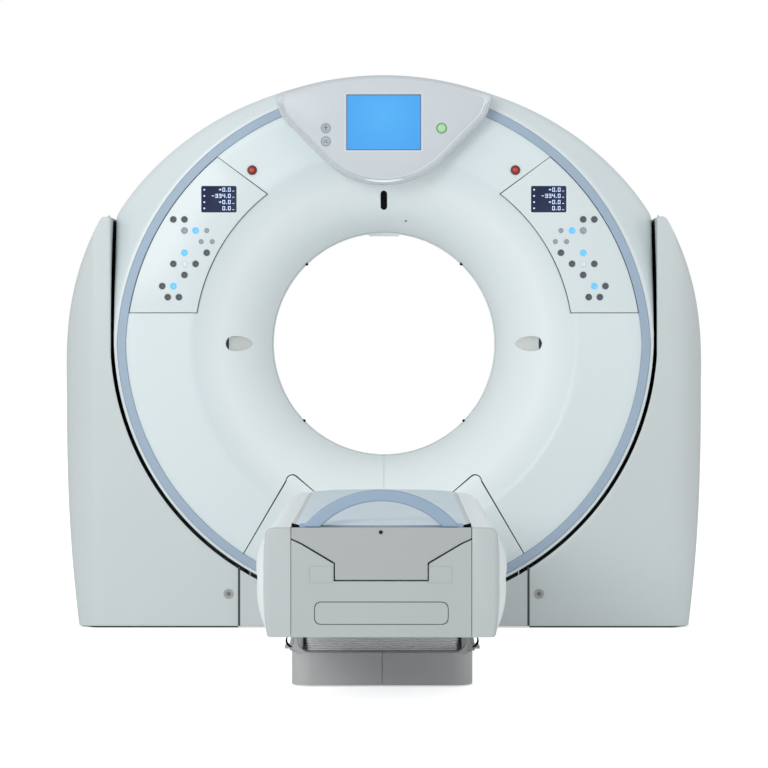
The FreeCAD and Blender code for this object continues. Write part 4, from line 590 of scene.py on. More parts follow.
casing = dict(shoulder=442, top=908, quarterX=450, quarterUp=820, flankX=749, flankUp=635,
              slope=1.18, softness=26, angles=480, inner=11.0, innerLevels=(428.6, 410, 0, -410, -428.6),
              lip=((9.6, 0), (2.0, 0), (0.6, 0.6)),       # how far the lip's rows are drawn in, and their depth
              chamferStep=4.0, pin=72, pinFrom=(-960, 880), pinLong=80)
turns = np.linspace(-math.pi, math.pi, casing["angles"], endpoint=False)
archRight = [(casing["quarterX"], casing["quarterUp"]), ("via", casing["flankX"], casing["flankUp"]),
             (drumRim["wide"], casing["shoulder"]), (drumRim["wide"], 0)]
archLeft = [("via", -p[1], p[2]) if p[0] == "via" else (-p[0], p[1]) for p in archRight[::-1]]
archLoop = outline(archLeft + [("via", 0, casing["top"])] + archRight + [("via", 0, -drumRim["bottom"])], 4.0)
upright = np.linspace(0, casing["shoulder"], 60)
flanks = [np.stack([side * drumRim["wide"] + 0 * upright, upright], 1) for side in (-1, 1)]
archLoop = np.concatenate([archLoop] + flanks)
archFar = polarOf(archLoop, turns)
archFlat = drumRim["flat"] / np.maximum(-np.sin(turns), 1e-3)
archFar = np.where(np.sin(turns) < 0, np.minimum(archFar, archFlat), archFar)
rimFar = rimPolar(turns, 0)
aboveRadius = arcRadius(drumRim["wide"], drumRim["top"])


def casingFar(depth):
    # the arch outside, the cone near the front edge, and a soft changeover where they meet
    cone = circlePolar(turns, aboveRadius + depth * casing["slope"], drumRim["top"] - aboveRadius)
    cone = np.where(np.sin(turns) < 0, archFar + depth * casing["slope"], cone)
    width = np.clip(0.5 * (archFar - rimFar), 0.5, casing["softness"])
    return softLess(archFar, cone, width)


depths = np.concatenate([np.arange(2.5, 100, casing["chamferStep"]), np.linspace(104, -front, 8)])
outerRows = [(rimPolar(turns, drawn), front + depth) for drawn, depth in casing["lip"]]
outerRows += [(casingFar(depth), front + depth) for depth in depths]
outerRows += [(far, -level) for far, level in outerRows[::-1][1:]]
innerRows = [(rimPolar(turns, casing["inner"]), level) for level in casing["innerLevels"]]
shell = ringMesh("casing_skin", outerRows + innerRows, turns)
carve(shell, [slab("pinHole", roundLoop(casing["pin"], 0, axisUp, 8), low, low + casing["pinLong"], "X", 0)
              for low in casing["pinFrom"]])
smoothOver(shell, 35)
dress(shell, "drum", "housingWhite", ["casing_shell"])
print("casing made")


# front and rear covers: a flat ring whose middle falls away as a bowed funnel towards the bore

funnel = dict(rim=653, rearRim=610, bore=392, deep=390, bowBack=39, bowIn=58, steps=46, flat=60, flatSteps=20,
              step=3.0, soft=9.0, window=8, finePoints=40, edge=12.0, angles=320,
              # radius and depth of the lip's two rows at the bore, and of the plain back's innermost row
              lip=((396.0, 384.0), (392.6, 388.5)), back=(410.0, 384.0), backOut=24.0)


def funnelProfile(radius):
    # from the bore's edge to the rim of the funnel: a straight fall plus a bow, 4 t (1 - t), that is greatest
    # halfway, then a short flat run; the corner between them is softened by a bell-shaped mean of neighbours
    share = np.linspace(1, 0, funnel["steps"])
    bow = 4 * share * (1 - share)
    flatFar = np.linspace(radius, radius + funnel["flat"], funnel["flatSteps"])[1:]
    far = np.concatenate([radius - ((radius - funnel["bore"]) * share + funnel["bowIn"] * bow), flatFar])
    depth = np.concatenate([funnel["deep"] * share - funnel["bowBack"] * bow, 0 * flatFar])
    along = np.concatenate([[0], np.cumsum(np.hypot(np.diff(far), np.diff(depth)))])
    even = np.arange(0, along[-1], funnel["step"])
    window = funnel["window"]
    weight = np.exp(-0.5 * (np.arange(-window, window + 1) * funnel["step"] / funnel["soft"]) ** 2)
    weight /= weight.sum()
    softPair = []
    for values in (np.interp(even, along, far), np.interp(even, along, depth)):
        before, after = 2 * values[0] - values[window:0:-1], 2 * values[-1] - values[-2:-window - 2:-1]
        softPair.append(np.convolve(np.concatenate([before, values, after]), weight, "valid"))
    fineFrom = len(even) - funnel["finePoints"]
    keep = np.unique(np.concatenate([np.arange(0, fineFrom, 4), np.arange(fineFrom, len(even), 2)]))
    return softPair[0][keep], np.maximum(softPair[1][keep], 0)


def coverShell(name, radius, side, drawn):
    # the funnel's rows, the flat ring out to the drawn-in rim, its rounded edge, and a plain back
    angles = np.linspace(-math.pi, math.pi, funnel["angles"], endpoint=False) + math.pi / funnel["angles"]
    edge = rimPolar(angles, drawn)
    far, depth = funnelProfile(radius)
    rows = [*funnel["lip"], *zip(far, depth)]
    rows += [(far[-1] + (edge - 2 - far[-1]) * share, 0.0) for share in (0.25, 0.5, 0.75, 1.0)]
    rows += [(edge - 0.5, 0.5), (edge, 2.0), (edge, funnel["edge"]),
             (radius + funnel["backOut"], funnel["edge"]), funnel["back"]]
    return ringMesh(name, [(far, -side * (front + depth)) for far, depth in rows], angles)


panel = dict(inner=644, floor=105, tipX=396.5, tipUp=507.5, shoulder=633, seam=2, turn=32,
             ringWide=877, ringTall=841, hole=2.2, holeBack=8.1, plateIn=0.5, plateBack=8, edge=1.0,
             # how far the rows of the dark band in the plate's gap are drawn in, and their depth; the band is
             # painted shade
             gapShade=(-2.0, 0.7, 0.7, -2.0), gapShadeDeep=(1.8, 1.8, 7.6, 7.6))


def ringEdge(up, gap):
    # distance to the blue ring's inner edge at a height, less a gap
    arc = arcRadius(panel["ringWide"], panel["ringTall"])
    return math.sqrt((arc - gap) ** 2 - (up + arc - panel["ringTall"]) ** 2)


def panelLoop(grow=0.0):
    # the right-hand control panel: level foot, ring-side arc, slanted shoulder, tip, and funnel-side arc
    inner, low, high = panel["inner"] - grow, panel["floor"] - grow, panel["shoulder"] + grow
    gap = panel["seam"] - grow
    middle = panel["shoulder"] * 0.6
    turned = math.radians(panel["turn"])
    return outline([
        (math.sqrt(inner**2 - low**2), low), (ringEdge(low, gap), low), ("via", ringEdge(middle, gap), middle),
        (ringEdge(high, gap), high), (panel["tipX"] - grow, panel["tipUp"] + grow),
        ("via", inner * math.cos(turned), inner * math.sin(turned))], 14) + np.array([0, axisUp])


apron = dict(footX=498, footUp=-753, peak=((332, -471), (318, -451), (300, -456)), dipX=225, dipUp=-518,
             below=-900, gap=3.4)


def apronLoop(grow=0.0):
    # the lower cover panel: two rounded peaks with a low level edge between them
    (outerX, outerUp), (topX, topUp), (innerX, innerUp) = apron["peak"]
    right = [(apron["footX"] + grow, apron["footUp"]), (outerX + grow, outerUp + grow),
             ("via", topX + grow / 2, topUp + grow), (innerX - grow, innerUp + grow),
             (apron["dipX"], apron["dipUp"] + grow)]
    left = [("via", -p[1], p[2]) if p[0] == "via" else (-p[0], p[1]) for p in right[::-1]]
    return outline(right + left + [(-apron["footX"] - grow, apron["below"]),
                                   (apron["footX"] + grow, apron["below"])], 5) + np.array([0, axisUp])


topSlot = dict(wide=23, tall=63, up=492)


def slotLoop(wide, tall, up):
    # an upright slot with round ends
    half, straight = wide / 2, tall / 2 - wide / 2
    return outline([(half, up - straight), (half, up + straight), ("via", 0, up + straight + half),
                    (-half, up + straight), (-half, up - straight), ("via", 0, up - straight - half)], 3) \
        + np.array([0, axisUp])


laser = dict(across=(541, 539, 536, 531, 521, 507, 490, 475, 463, 455, 452),
             tall=(0.2, 10, 16, 21.5, 25, 26, 25, 21, 15, 7, 0.2),
             deep=(0.2, 13, 20, 25, 26, 22, 15, 9.5, 5.5, 2.5, 0.2),
             grooveAngles=48, cupAngles=24, cupFrom=0.12, wall=0.8,
             windowShare=0.96, windowRows=4, bedShare=0.985)


def laserRows(side, turn, share=1.0, count=None):
    # ellipses across the funnel, centred on its surface: tall and deep near the outer end, flat near the bore
    far, depth = funnelProfile(funnel["rim"])
    rows = []
    for across, tall, deep in list(zip(laser["across"], laser["tall"], laser["deep"]))[:count]:
        middle = front + float(np.interp(across, far, depth))
        rows.append(np.stack([np.full(len(turn), side * float(across)), middle + share * deep * np.sin(turn),
                              axisUp + share * tall * np.cos(turn)], 1))
    return rows


def laserGroove(side):
    count = laser["grooveAngles"]
    rows = laserRows(side, np.linspace(0, 2 * math.pi, count, endpoint=False))
    return meshOf("laserGroove", np.concatenate(rows), cappedFaces(len(rows), count))


def laserCup(name, side, share, count=None):
    # the back half of the groove's first rows, a little inside it, given a thin wall
    turn = np.linspace(laser["cupFrom"], math.pi - laser["cupFrom"], laser["cupAngles"])
    rows = laserRows(side, turn, share, count)
    thing = meshOf(name, np.concatenate(rows), gridFaces(len(rows), len(turn), False, False))
    smoothOver(thing, 50)
    return walled(thing, laser["wall"], 0)


seam = dict(reach=500, above=(-3.0, 3.0), under=(2.0, -2.2), half=1.1)


def seamCutter():
    # a thin upright sheet that follows the funnel's bottom, half above its surface and half in it
    far, depth = funnelProfile(funnel["rim"])
    keep = far < seam["reach"]
    surfaceLine = np.stack([front + depth[keep], axisUp - far[keep]], 1)
    loop = np.concatenate([surfaceLine + seam["above"], (surfaceLine + seam["under"])[::-1]])
    return slab("seamCutter", loop, -seam["half"], seam["half"], "X", 0)


stops = dict(across=446.8, up=axisUp + 588.6, hole=16.6, angles=32,
             # distance from the button's middle, and depth from the drum's front
             collar=((9.4, -7.2), (10.2, -8.4), (13.2, -7.6), (15.2, -4.5), (15.6, 0), (15.6, 8), (9.4, 8)),
             knob=((3.0, -11.0), (6.5, -10.6), (8.8, -9.2), (9.5, -6.5), (9.5, 6)))
cutFrom = front - 30
cover = coverShell("front_cover_skin", funnel["rim"], -1, behindRing)
apronSkin = coverShell("apron_skin", funnel["rim"], -1, behindRing)
cutters = [slab("apronHole", apronLoop(apron["gap"]), cutFrom, 20, "Y", 0),
           slab("slotHole", slotLoop(**topSlot), cutFrom, -200, "Y", 0),
           laserGroove(1), laserGroove(-1), seamCutter()]
for word, side in rightLeft:
    stopLoop = roundLoop(stops["hole"], stops["across"], stops["up"])
    panelHole = mirrored(panelLoop(panel["hole"]), side)
    cutters += [slab("panelHole", panelHole, cutFrom, front + panel["holeBack"], "Y", 0),
                slab("stopHole", mirrored(stopLoop, side), cutFrom, front + 50, "Y", 0)]
carve(cover, cutters)
smoothOver(cover, 28)
dress(cover, "drum", "funnelWhite", ["front_cover"])
carve(apronSkin, [slab("apronArea", apronLoop(0), cutFrom, 20, "Y", 0)], "INTERSECT")
smoothOver(apronSkin, 28)
dress(apronSkin, "drum", "funnelWhite", ["apron_insert"])
rear = coverShell("rear_cover_skin", funnel["rearRim"], 1, drumRim["lip"] + drumRim["gap"])
smoothOver(rear, 28)
dress(rear, "drum", "rearWhite", ["rear_cover"])
for word, side in rightLeft:
    edge = mirrored(panelLoop(0), side)
    plate = slab("control_plate_" + word, inset(edge, panel["plateIn"]), front, front + panel["plateBack"],
                 "Y", panel["edge"])
    smoothOver(plate, 28)
    dress(plate, "drum", "housingWhite", ["control_panel_" + word])
    # a dark band at the bottom of the gap round the plate: painted shade, darker than the gap's own shade
    gapShade = band("panel_gap_shade_" + word, [inset(edge, drawn) for drawn in panel["gapShade"]],
                [front + deep for deep in panel["gapShadeDeep"]])
    dress(gapShade, "drum", "seamDark")
    dress(laserCup("laser_window_" + word, side, laser["windowShare"], laser["windowRows"]),
          "drum", "windowDark", ["lateral_laser_windows"] if side > 0 else [])
    dress(laserCup("laser_bed_" + word, side, laser["bedShare"]), "drum", "bedGrey")
print("covers made")


# small marks round the bore: four spots on its lip, a thin joint line, and a dot on the funnel

spots = dict(turns=(0.802, 2.342, 3.910, 5.515), far=389.0, angles=12,
             # distance from the spot's middle, and depth
             profile=((4.2, -47.5), (5.2, -46.5), (5.2, -38)), dotAcross=76, dotUp=425, dotFar=432,
             dotProfile=((2.6, -2.4), (3.6, -1.4), (3.6, 6)), joint=(391.6, 393.4, 393.4, 391.6),
             jointLevels=(-43.6, -45.6, -41.5, -41.5))
dots = [lathe("spot", spots["profile"], spots["far"] * math.cos(turn), axisUp + spots["far"] * math.sin(turn),
              spots["angles"]) for turn in spots["turns"]]
dotLevel = front + float(np.interp(spots["dotFar"], *funnelProfile(funnel["rim"])))
dots.append(lathe("spot", spots["dotProfile"], spots["dotAcross"], axisUp + spots["dotUp"], spots["angles"],
                  dotLevel))
dress(joined("bore_spots", dots), "drum", "windowDark")
joint = band("bore_joint", [circleLoop(far, 0, axisUp, 200) for far in spots["joint"]], spots["jointLevels"])
smoothOver(joint, 40)
dress(joint, "drum", "seamGrey")
print("marks round the bore made")


# controls on the front: keys, displays with figures, stop buttons

keyGrid = dict(across=18.9, up=37.7, middleX=676.9, middleUp=axisUp + 270.7, radius=11.6, small=8.5, angles=20,
               # distance from the key's outside, and depth from the drum's front
               cap=((-4.2, -2.4), (-3.4, -3.0), (-2.2, -2.6), (-1.7, -1.0), (-1.7, 1)),
               rim=((-1.9, -0.6), (-1.3, -1.8), (-0.3, -1.5), (0, -0.6), (0, 1), (-1.9, 1)))
keyList = [  # steps across (towards the bore) and up, small, finish
    (-2, 4, False, "keyDark"), (0, 4, False, "keyDark"), (0, 3, False, "keyGrey"), (2, 3, False, "keyLit"),
    (4, 3, True, "keyGrey"), (3, 2, True, "keyGrey"), (5, 2, True, "keyGrey"), (0, 1, False, "keyLit"),
    (4, 1, False, "keyDark"), (-2, 0, False, "keyDark"), (0, 0, False, "keyPale"), (2, 0, False, "keyDark"),
    (0, -1, False, "keyDark"), (-4, -2, False, "keyDark"), (-2, -2, False, "keyLit"),
    (-3, -3, False, "keyDark"), (-1, -3, False, "keyDark")]
display = dict(across=559.8, up=axisUp + 490.1, halfWide=60, halfTall=45, corner=6,
               rows=("+0.0", "-334.0", "+0.0", "0.0"), first=25.5, apart=21.0, right=40,
               wide=9.0, dot=3.5, gap=3.2, figure=13.5, thick=2.1,
               leftMark=(-52, -47, 4, 9), rightMark=(46, 52, 1, 3),
               # depth from the drum's front, and the glass's rounding
               barDeep=(-0.75, -0.2), glassDeep=(-0.4, 4), glassEdge=0.6)
figures = {"0": "abcdef", "3": "abgcd", "4": "fgbc", "-": "g", "+": "gv", ".": "."}


def segmentBoxes(sign, left, low, wide, tall, thick):
    # the bars of one seven-bar figure, as left, right, low, high
    middle, right, high = low + tall / 2, left + wide, low + tall
    bars = {"a": (left, right, high - thick, high), "d": (left, right, low, low + thick),
            "g": (left, right, middle - thick / 2, middle + thick / 2), "f": (left, left + thick, middle, high),
            "b": (right - thick, right, middle, high), "e": (left, left + thick, low, middle),
            "c": (right - thick, right, low, middle), ".": (left, left + thick * 1.3, low, low + thick * 1.3),
            "v": (left + (wide - thick) / 2, left + (wide + thick) / 2, low + tall * 0.25, low + tall * 0.75)}
    return [bars[bar] for bar in figures[sign]]


def displayMarks(name, middleX):
    # lines of figures set against the right edge, each with a small mark at both of its ends
    bars = []
    for place, words in enumerate(display["rows"]):
        low = display["up"] + display["first"] - place * display["apart"]
        run = middleX + display["right"]
        for sign in reversed(words):
            wide = display["dot"] if sign == "." else display["wide"]
            bars += segmentBoxes(sign, run - wide, low, wide, display["figure"], display["thick"])
            run -= wide + display["gap"]
        for left, right, under, over in (display["leftMark"], display["rightMark"]):
            bars.append((middleX + left, middleX + right, low + under, low + over))
    near, far = [front + deep for deep in display["barDeep"]]
    return joined(name, [slab("bar", boxLoop(*bar), near, far, "Y", 0) for bar in bars])


for word, side in rightLeft:
    byFinish = {}
    for across, up, small, finish in keyList:
        radius = keyGrid["small"] if small else keyGrid["radius"]
        x = side * (keyGrid["middleX"] - across * keyGrid["across"])
        z = keyGrid["middleUp"] + up * keyGrid["up"]
        for part, partFinish in (("cap", finish), ("rim", "keyRim" if finish == "keyDark" else finish)):
            ring = lathe(part, keyGrid[part], x, z, keyGrid["angles"], front, radius)
            byFinish.setdefault(partFinish, []).append(ring)
    stands = ["keypad_" + word]          # the first finish's keys stand for the whole keypad
    for finish, caps in sorted(byFinish.items()):
        keys = joined("keys_" + word + "_" + finish, caps)
        smoothOver(keys, 50)
        dress(keys, "drum", finish, stands)
        stands = []
    middleX = side * display["across"]
    glassLoop = boxLoop(middleX - display["halfWide"], middleX + display["halfWide"],
                        display["up"] - display["halfTall"], display["up"] + display["halfTall"],
                        display["corner"])
    near, far = [front + deep for deep in display["glassDeep"]]
    glass = slab("display_glass_" + word, glassLoop, near, far, "Y", display["glassEdge"])
    dress(glass, "drum", "displayNavy", ["display_" + word])
    dress(displayMarks("display_figures_" + word, middleX), "drum", "digitPale")
    for name, finish, stands in (("collar", "stopDark", ["estop_" + word]), ("knob", "stopRed", [])):
        part = lathe("stop_" + name + "_" + word, stops[name], side * stops["across"], stops["up"],
                     stops["angles"], front)
        smoothOver(part, 40)
        dress(part, "stop_" + word, finish, stands)
print("controls made")


# hood: a rolled rim with two fine creases, the fascia, the framed screen, round marks and the start button

hood = dict(knee=(201, 621), wing=(346, 766), tip=(370, 838), bottom=538, top=906,
            # how far each of the three points moves, across and up, where the outline is drawn in by 1
            kneeMove=(-0.7, 0.7), wingMove=(-1.1, 0.3), tipMove=(-1.3, -0.6),
            lowPoints=48, highPoints=66, rollFrom=836, rollOver=25, roll=22, rollReach=26, rollLevel=-506,
            # how far each row of the rim is drawn in, and its depth
            rim=((0, -403), (0, -508), (0.6, -512.5), (2.3, -516.6), (4.6, -519), (6.8, -519.8), (7.2, -519.2),
                 (7.8, -519.2), (8.2, -519.9), (10.5, -520), (13.2, -519.6), (14.0, -518.7), (14.8, -518.8),
                 (17, -518.1), (19, -517.5), (22, -517.15), (22, -512), (14, -505), (14, -403)),
            creases=((6.9, 7.9), (13.4, 14.3)), creaseTop=812, creaseMiddle=850, creaseLevels=(-520.25, -517.5),
            lipLow=((-72, 556.5), (0, 542.5), (72, 556.5)), lipHigh=((72, 558.5), (0, 551), (-72, 558.5)),
            lipLevels=(-522.4, -517), lipEdge=1.4, shadeUp=1.8, shadeLevels=(-520.6, -516),
            drawn=20, fascia=-517, thick=12, edge=0.3, holeFrom=-530)
fascia = hood["fascia"]


def hoodLoop(drawn=0.0):
    # the hood from the front, drawn in by an amount: bottom arc, two flanks, two wings and the arched top,
    # evened once by a mean of each point and its neighbours
    knee, wing, tip = [tuple(place + move * drawn for place, move in zip(hood[point], hood[point + "Move"]))
                       for point in ("knee", "wing", "tip")]
    low = arcPoints((-knee[0], knee[1]), (0, hood["bottom"] + drawn), knee, 9)
    high = arcPoints(tip, (0, hood["top"] - drawn), (-tip[0], tip[1]), 12)
    low = low[np.linspace(0, len(low) - 1, hood["lowPoints"]).round().astype(int)]
    high = high[np.linspace(0, len(high) - 1, hood["highPoints"]).round().astype(int)]
    flank = [knee + (np.array(wing) - knee) * share for share in np.linspace(0, 1, 9)[:-1]]
    edge = [wing + (np.array(tip) - wing) * share for share in np.linspace(0, 1, 7)[:-1]]
    other = [np.array([-x, z]) for x, z in flank[1:] + edge]
    loop = np.concatenate([low, flank, edge, [tip], high[1:], other[::-1]])
    loop = 0.5 * loop + 0.25 * (np.roll(loop, 1, 0) + np.roll(loop, -1, 0))
    return loop + np.array([0, axisUp])


def hoodRim(name):
    # along the arched top the rim rolls back: by the roll at its edge, less by the square of the way in
    rows = []
    upShare = np.clip((hoodLoop(0)[:, 1] - axisUp - hood["rollFrom"]) / hood["rollOver"], 0, 1)
    for drawn, level in hood["rim"]:
        row = toSpace(hoodLoop(drawn), level, "Y")
        back = upShare * (level < hood["rollLevel"])
        row[:, 1] += back * hood["roll"] * (1 - min(drawn / hood["rollReach"], 1)) ** 2
        rows.append(row)
    return meshOf(name, np.concatenate(rows), gridFaces(len(rows), len(rows[0]), True, True))


def creaseLine(*insets):
    # a hairline along the rim's lower part, between two insets, ordered round the hood's middle
    edges = []
    for drawn in insets:
        loop = hoodLoop(drawn)
        loop = loop[loop[:, 1] < axisUp + hood["creaseTop"]]
        edges.append(loop[np.argsort(np.arctan2(loop[:, 0], axisUp + hood["creaseMiddle"] - loop[:, 1]))])
    return slab("crease", np.concatenate([edges[0], edges[1][::-1]]), *hood["creaseLevels"], "Y", 0)


rimSkin = hoodRim("hood_rim")
smoothOver(rimSkin, 40)
dress(rimSkin, "drum", "hoodWhite", ["hood_shell"])
dress(joined("hood_creases", [creaseLine(*pair) for pair in hood["creases"]]), "drum", "seamGrey")
# the lip is painted in the couch's paler white, brighter than the hood's own plastic: a painted highlight; the
# grey strip above it is painted shade
lipLow, lipHigh = arcPoints(*hood["lipLow"], 4), arcPoints(*hood["lipHigh"], 4)
lip = slab("hood_lip", np.concatenate([lipLow, lipHigh]) + [0, axisUp], *hood["lipLevels"], "Y",
           hood["lipEdge"])
smoothOver(lip, 40)
dress(lip, "drum", "couchWhite")
shadeLoop = np.concatenate([lipHigh[::-1] + [0, hood["shadeUp"]], lipHigh]) + [0, axisUp]
lipShade = slab("hood_lip_shade", shadeLoop, *hood["shadeLevels"], "Y", 0)
dress(lipShade, "drum", "seamGrey")

screen = dict(half=125.5, tall=187, up=axisUp + 745, corner=3, bezel=(6.5, 5.6, 0.4, 0.4, 6.5),
              bezelLevels=(-517.05, -517.9, -514.6, -513.0, -513.0), line=(0.5, -2.4, -2.4, 0.5),
              lineLevels=(-514.9, -514.7, -513.4, -513.4), glass=(-514.2, -510), gap=0.3, holeBack=-510)
screenLight = dict(middle=(0.0, 1.735), reach=0.19, centre=tone(90, 182, 250), edge=tone(74, 166, 243),
                   under=tone(12, 36, 62), strength=0.93)
buttons = dict(across=195, up=axisUp + 725, apart=44, disc=15.4, discDeep=(-0.2, 3), discAngles=28,
               discHole=16.8, discBack=-514, capHole=14.3, capBack=-506, angles=32,
               # distance from the button's middle, and depth from the fascia's face
               ring=(16.6, 15.0, 15.0, 16.6), ringLevels=(-0.6, -0.6, 1.0, 1.0), mark=(-0.5, 0.8),
               cap=((9.0, -4.0), (12.0, -3.6), (13.6, -2.0), (14.0, 0.5), (14.0, 8.2)),
               halo=(18.4, 17.6, 15.4, 14.6, 14.6, 18.4), haloLevels=(-0.1, -1.3, -1.3, -0.6, 1.0, 1.0))
discX, discUps = -buttons["across"], [buttons["up"] - place * buttons["apart"] for place in range(2)]


def screenLoop(grow):
    low, high = screen["up"] - screen["tall"] / 2, screen["up"] + screen["tall"] / 2
    return boxLoop(-screen["half"] - grow, screen["half"] + grow, low - grow, high + grow,
                   screen["corner"] + max(grow, 0))


def onFascia(levels):
    return [fascia + level for level in levels]


plate = slab("fascia_skin", hoodLoop(hood["drawn"]), fascia, fascia + hood["thick"], "Y", hood["edge"])
screenHalf, screenTall = screen["half"] + screen["gap"], screen["tall"] / 2
screenHole = boxLoop(-screenHalf, screenHalf, screen["up"] - screenTall - screen["gap"],
                     screen["up"] + screenTall + screen["gap"], screen["corner"])
capHole = circleLoop(buttons["capHole"], buttons["across"], buttons["up"], buttons["angles"])
discHoles = [circleLoop(buttons["discHole"], discX, up, buttons["angles"]) for up in discUps]
holes = [(screenHole, screen["holeBack"]), (capHole, buttons["capBack"])]
holes += [(loop, buttons["discBack"]) for loop in discHoles]
carve(plate, [slab("hole", loop, hood["holeFrom"], back, "Y", 0) for loop, back in holes])
smoothOver(plate, 30)
dress(plate, "drum", "fasciaGrey", ["hood_fascia"])

dress(band("screen_bezel", [screenLoop(grow) for grow in screen["bezel"]], screen["bezelLevels"]),
      "drum", "housingWhite")
dress(band("screen_line", [screenLoop(grow) for grow in screen["line"]], screen["lineLevels"]),
      "drum", "screenRim")
paint["screenBlue"] = makeScreen("screenBlue", **screenLight)
dress(slab("screen_glass", screenLoop(-screen["gap"]), *screen["glass"], "Y", 0.3),
      "drum", "screenBlue", ["touchscreen"])

high, low = discUps
markLoops = [   # upper disc: an upright bar, a dot and a cross bar; lower disc: a slanted bar, a foot, a dot
    boxLoop(discX - 1.6, discX + 1.6, high - 9, high + 4, 1), roundLoop(2.6, discX, high + 8, 2),
    boxLoop(discX - 7, discX + 7, high + 1.0, high + 3.6, 1),
    np.array([(-8, -5), (-5.5, -5), (-2, 4), (-4.5, 4)]) + [discX, low],
    boxLoop(discX - 1, discX + 8, low - 5, low - 2.6), roundLoop(2.4, discX + 2, low + 3, 2)]
marks = [band("ring", [circleLoop(far, discX, up, buttons["discAngles"]) for far in buttons["ring"]],
              onFascia(buttons["ringLevels"])) for up in discUps]
marks += [slab("mark", loop, *onFascia(buttons["mark"]), "Y", 0) for loop in markLoops]
discs = [lathe("disc", [(buttons["disc"], deep) for deep in buttons["discDeep"]], discX, up,
               buttons["discAngles"], fascia) for up in discUps]
dress(joined("status_discs", discs), "drum", "lampGrey", ["status_icons"])
dress(joined("status_marks", marks), "drum", "markGrey")
cap = lathe("start_cap", buttons["cap"], buttons["across"], buttons["up"], buttons["angles"], fascia)
smoothOver(cap, 40)
dress(cap, "start", "startGreen", ["start_button"])
haloLoops = [circleLoop(far, buttons["across"], buttons["up"], buttons["angles"]) for far in buttons["halo"]]
halo = band("start_halo", haloLoops, onFascia(buttons["haloLevels"]))
smoothOver(halo, 40)
dress(halo, "drum", "ringGreen")
print("hood made")


# stand covers: a front outline and a plan outline, each point keeps the smaller of the two widths

stand = dict(face=440, crease=983, cornerX=1066, cornerY=375, side=1095, run=190, seam=492, inner=929,
             under=907, soft=16, faceSoft=5.0, faceDeep=4, wall=7, foot=5, top=1395, endDrawn=1.5,
             topDrawn=(0.3, 1.7, 6.0), lip=((0, 9), (0, 1.8), (0.5, 0.5)), lipClear=1.8)
outerEdge = np.concatenate([arcPoints((1039, stand["foot"]), (1081, 421), (1091, 840), 10),
                            arcPoints((1091, 840), (1067, 1117), (957, stand["top"]), 10),
                            [[957, stand["top"]]]])
cornerArc = arcPoints((stand["crease"], -stand["face"]), (stand["cornerX"], -stand["cornerY"]),
                      (stand["side"], -(stand["face"] - stand["run"])), 9)
levels = np.concatenate([[stand["foot"], 6.5, 10], np.linspace(20, 190, 12), np.linspace(200, 960, 60),
                         np.linspace(970, 1385, 36), [1390, 1393.4, stand["top"]]])
drawnTop = np.zeros(len(levels))
drawnTop[-3:] = stand["topDrawn"]
drawnTop[0] = stand["endDrawn"]


def roomEdge(up):
    # the inner edge of the cover's face: upright above the axis and along the drum's rim, 12 mm clear, below it
    below = arcRadius(stand["inner"], stand["under"])
    lean = np.clip(up - axisUp - (below - stand["under"]), -below, below)
    beside = np.sqrt(np.maximum(below**2 - lean**2, 0))
    return np.maximum(np.where(up >= axisUp, stand["inner"], beside), stand["seam"])


def standShell(name, side):
    # at each height half a plan: lip, face, and rounded corner, each point no wider than the front outline
    # there, then the same mirrored for the back, and the top drawn in to the inner edge
    edge = np.interp(levels, outerEdge[:, 1], outerEdge[:, 0]) - drawnTop
    rows = []
    share = np.linspace(0, 1, 14)
    for up, far, near, drawn in zip(levels, edge, roomEdge(levels), drawnTop):
        face = -(stand["face"] - drawn * 0.7)
        across = near + stand["lipClear"] + (stand["crease"] - near - stand["lipClear"]) * share
        faceLine = np.stack([across, np.full(len(share), face)], 1)
        lip = np.array(stand["lip"]) + [near, face]
        corner = cornerArc[1:] + np.array([0, stand["face"] + face])
        half = np.concatenate([lip, faceLine, corner])
        soft = np.where(half[:, 1] > face + stand["faceDeep"], stand["soft"], stand["faceSoft"])
        half[:, 0] = softLess(half[:, 0], far, soft)
        half[:, 0] = np.maximum(half[:, 0], near)
        back = half[::-1] * np.array([1, -1])
        middle = np.linspace(half[-1], back[0], 8)[1:-1]
        rows.append(toSpace(mirrored(np.concatenate([half, middle, back]), side), up, "Z"))
    top = rows[-1].copy()
    top[:, 0] = side * stand["inner"]
    rows.append(top)
    # on the right the corners of each face are listed the other way round
    faces = [face[::-side] for face in gridFaces(len(rows), len(rows[0]), False, False)]
    thing = meshOf(name, np.concatenate(rows), faces)
    facing = np.array([face.normal.x * side for face in thing.data.polygons])
    if np.sum(np.sign(facing[np.abs(facing) > 0.7])) < 0:
        thing.data.flip_normals()
    smoothOver(thing, 35)
    return walled(thing, stand["wall"], -1)


standTrim = dict(gapShadeX=491.5, gapShadeHalf=3.8, gapShadeLow=6, gapShadeHigh=206, gapShadeLevels=(-440.4, -434),
                 lipX=(927.4, 928.9),
                 lip=((-437, 905), (-431, 905), (-423, 1070), (-401, 1200), (-366, 1300), (-328, 1388),
                      (-437, 1388)),
                 # the foot: plan of a thin black slab under the stand cover's edge, a painted shadow line
                 foot=((495, -438), (983, -438), (1031, -372), (1031, 372), (983, 438), (495, 438),
                       (495, 428), (975, 428), (1021, 366), (1021, -366), (975, -428), (495, -428)),
                 footShadowLevels=(0.8, 5.4), lockX=527, lockUp=115, lockAngles=32,
                 # distance from the lock's middle, and depth from the stand's face
                 ring=((12.0, -0.5), (12.4, -2.4), (13.6, -3.0), (16.2, -2.6), (17, -0.9), (17, 0), (12, 0)),
                 well=((4.0, -1.6), (6.6, -1.3), (7.2, -0.4), (12.4, -0.3), (12.4, 0.0)))
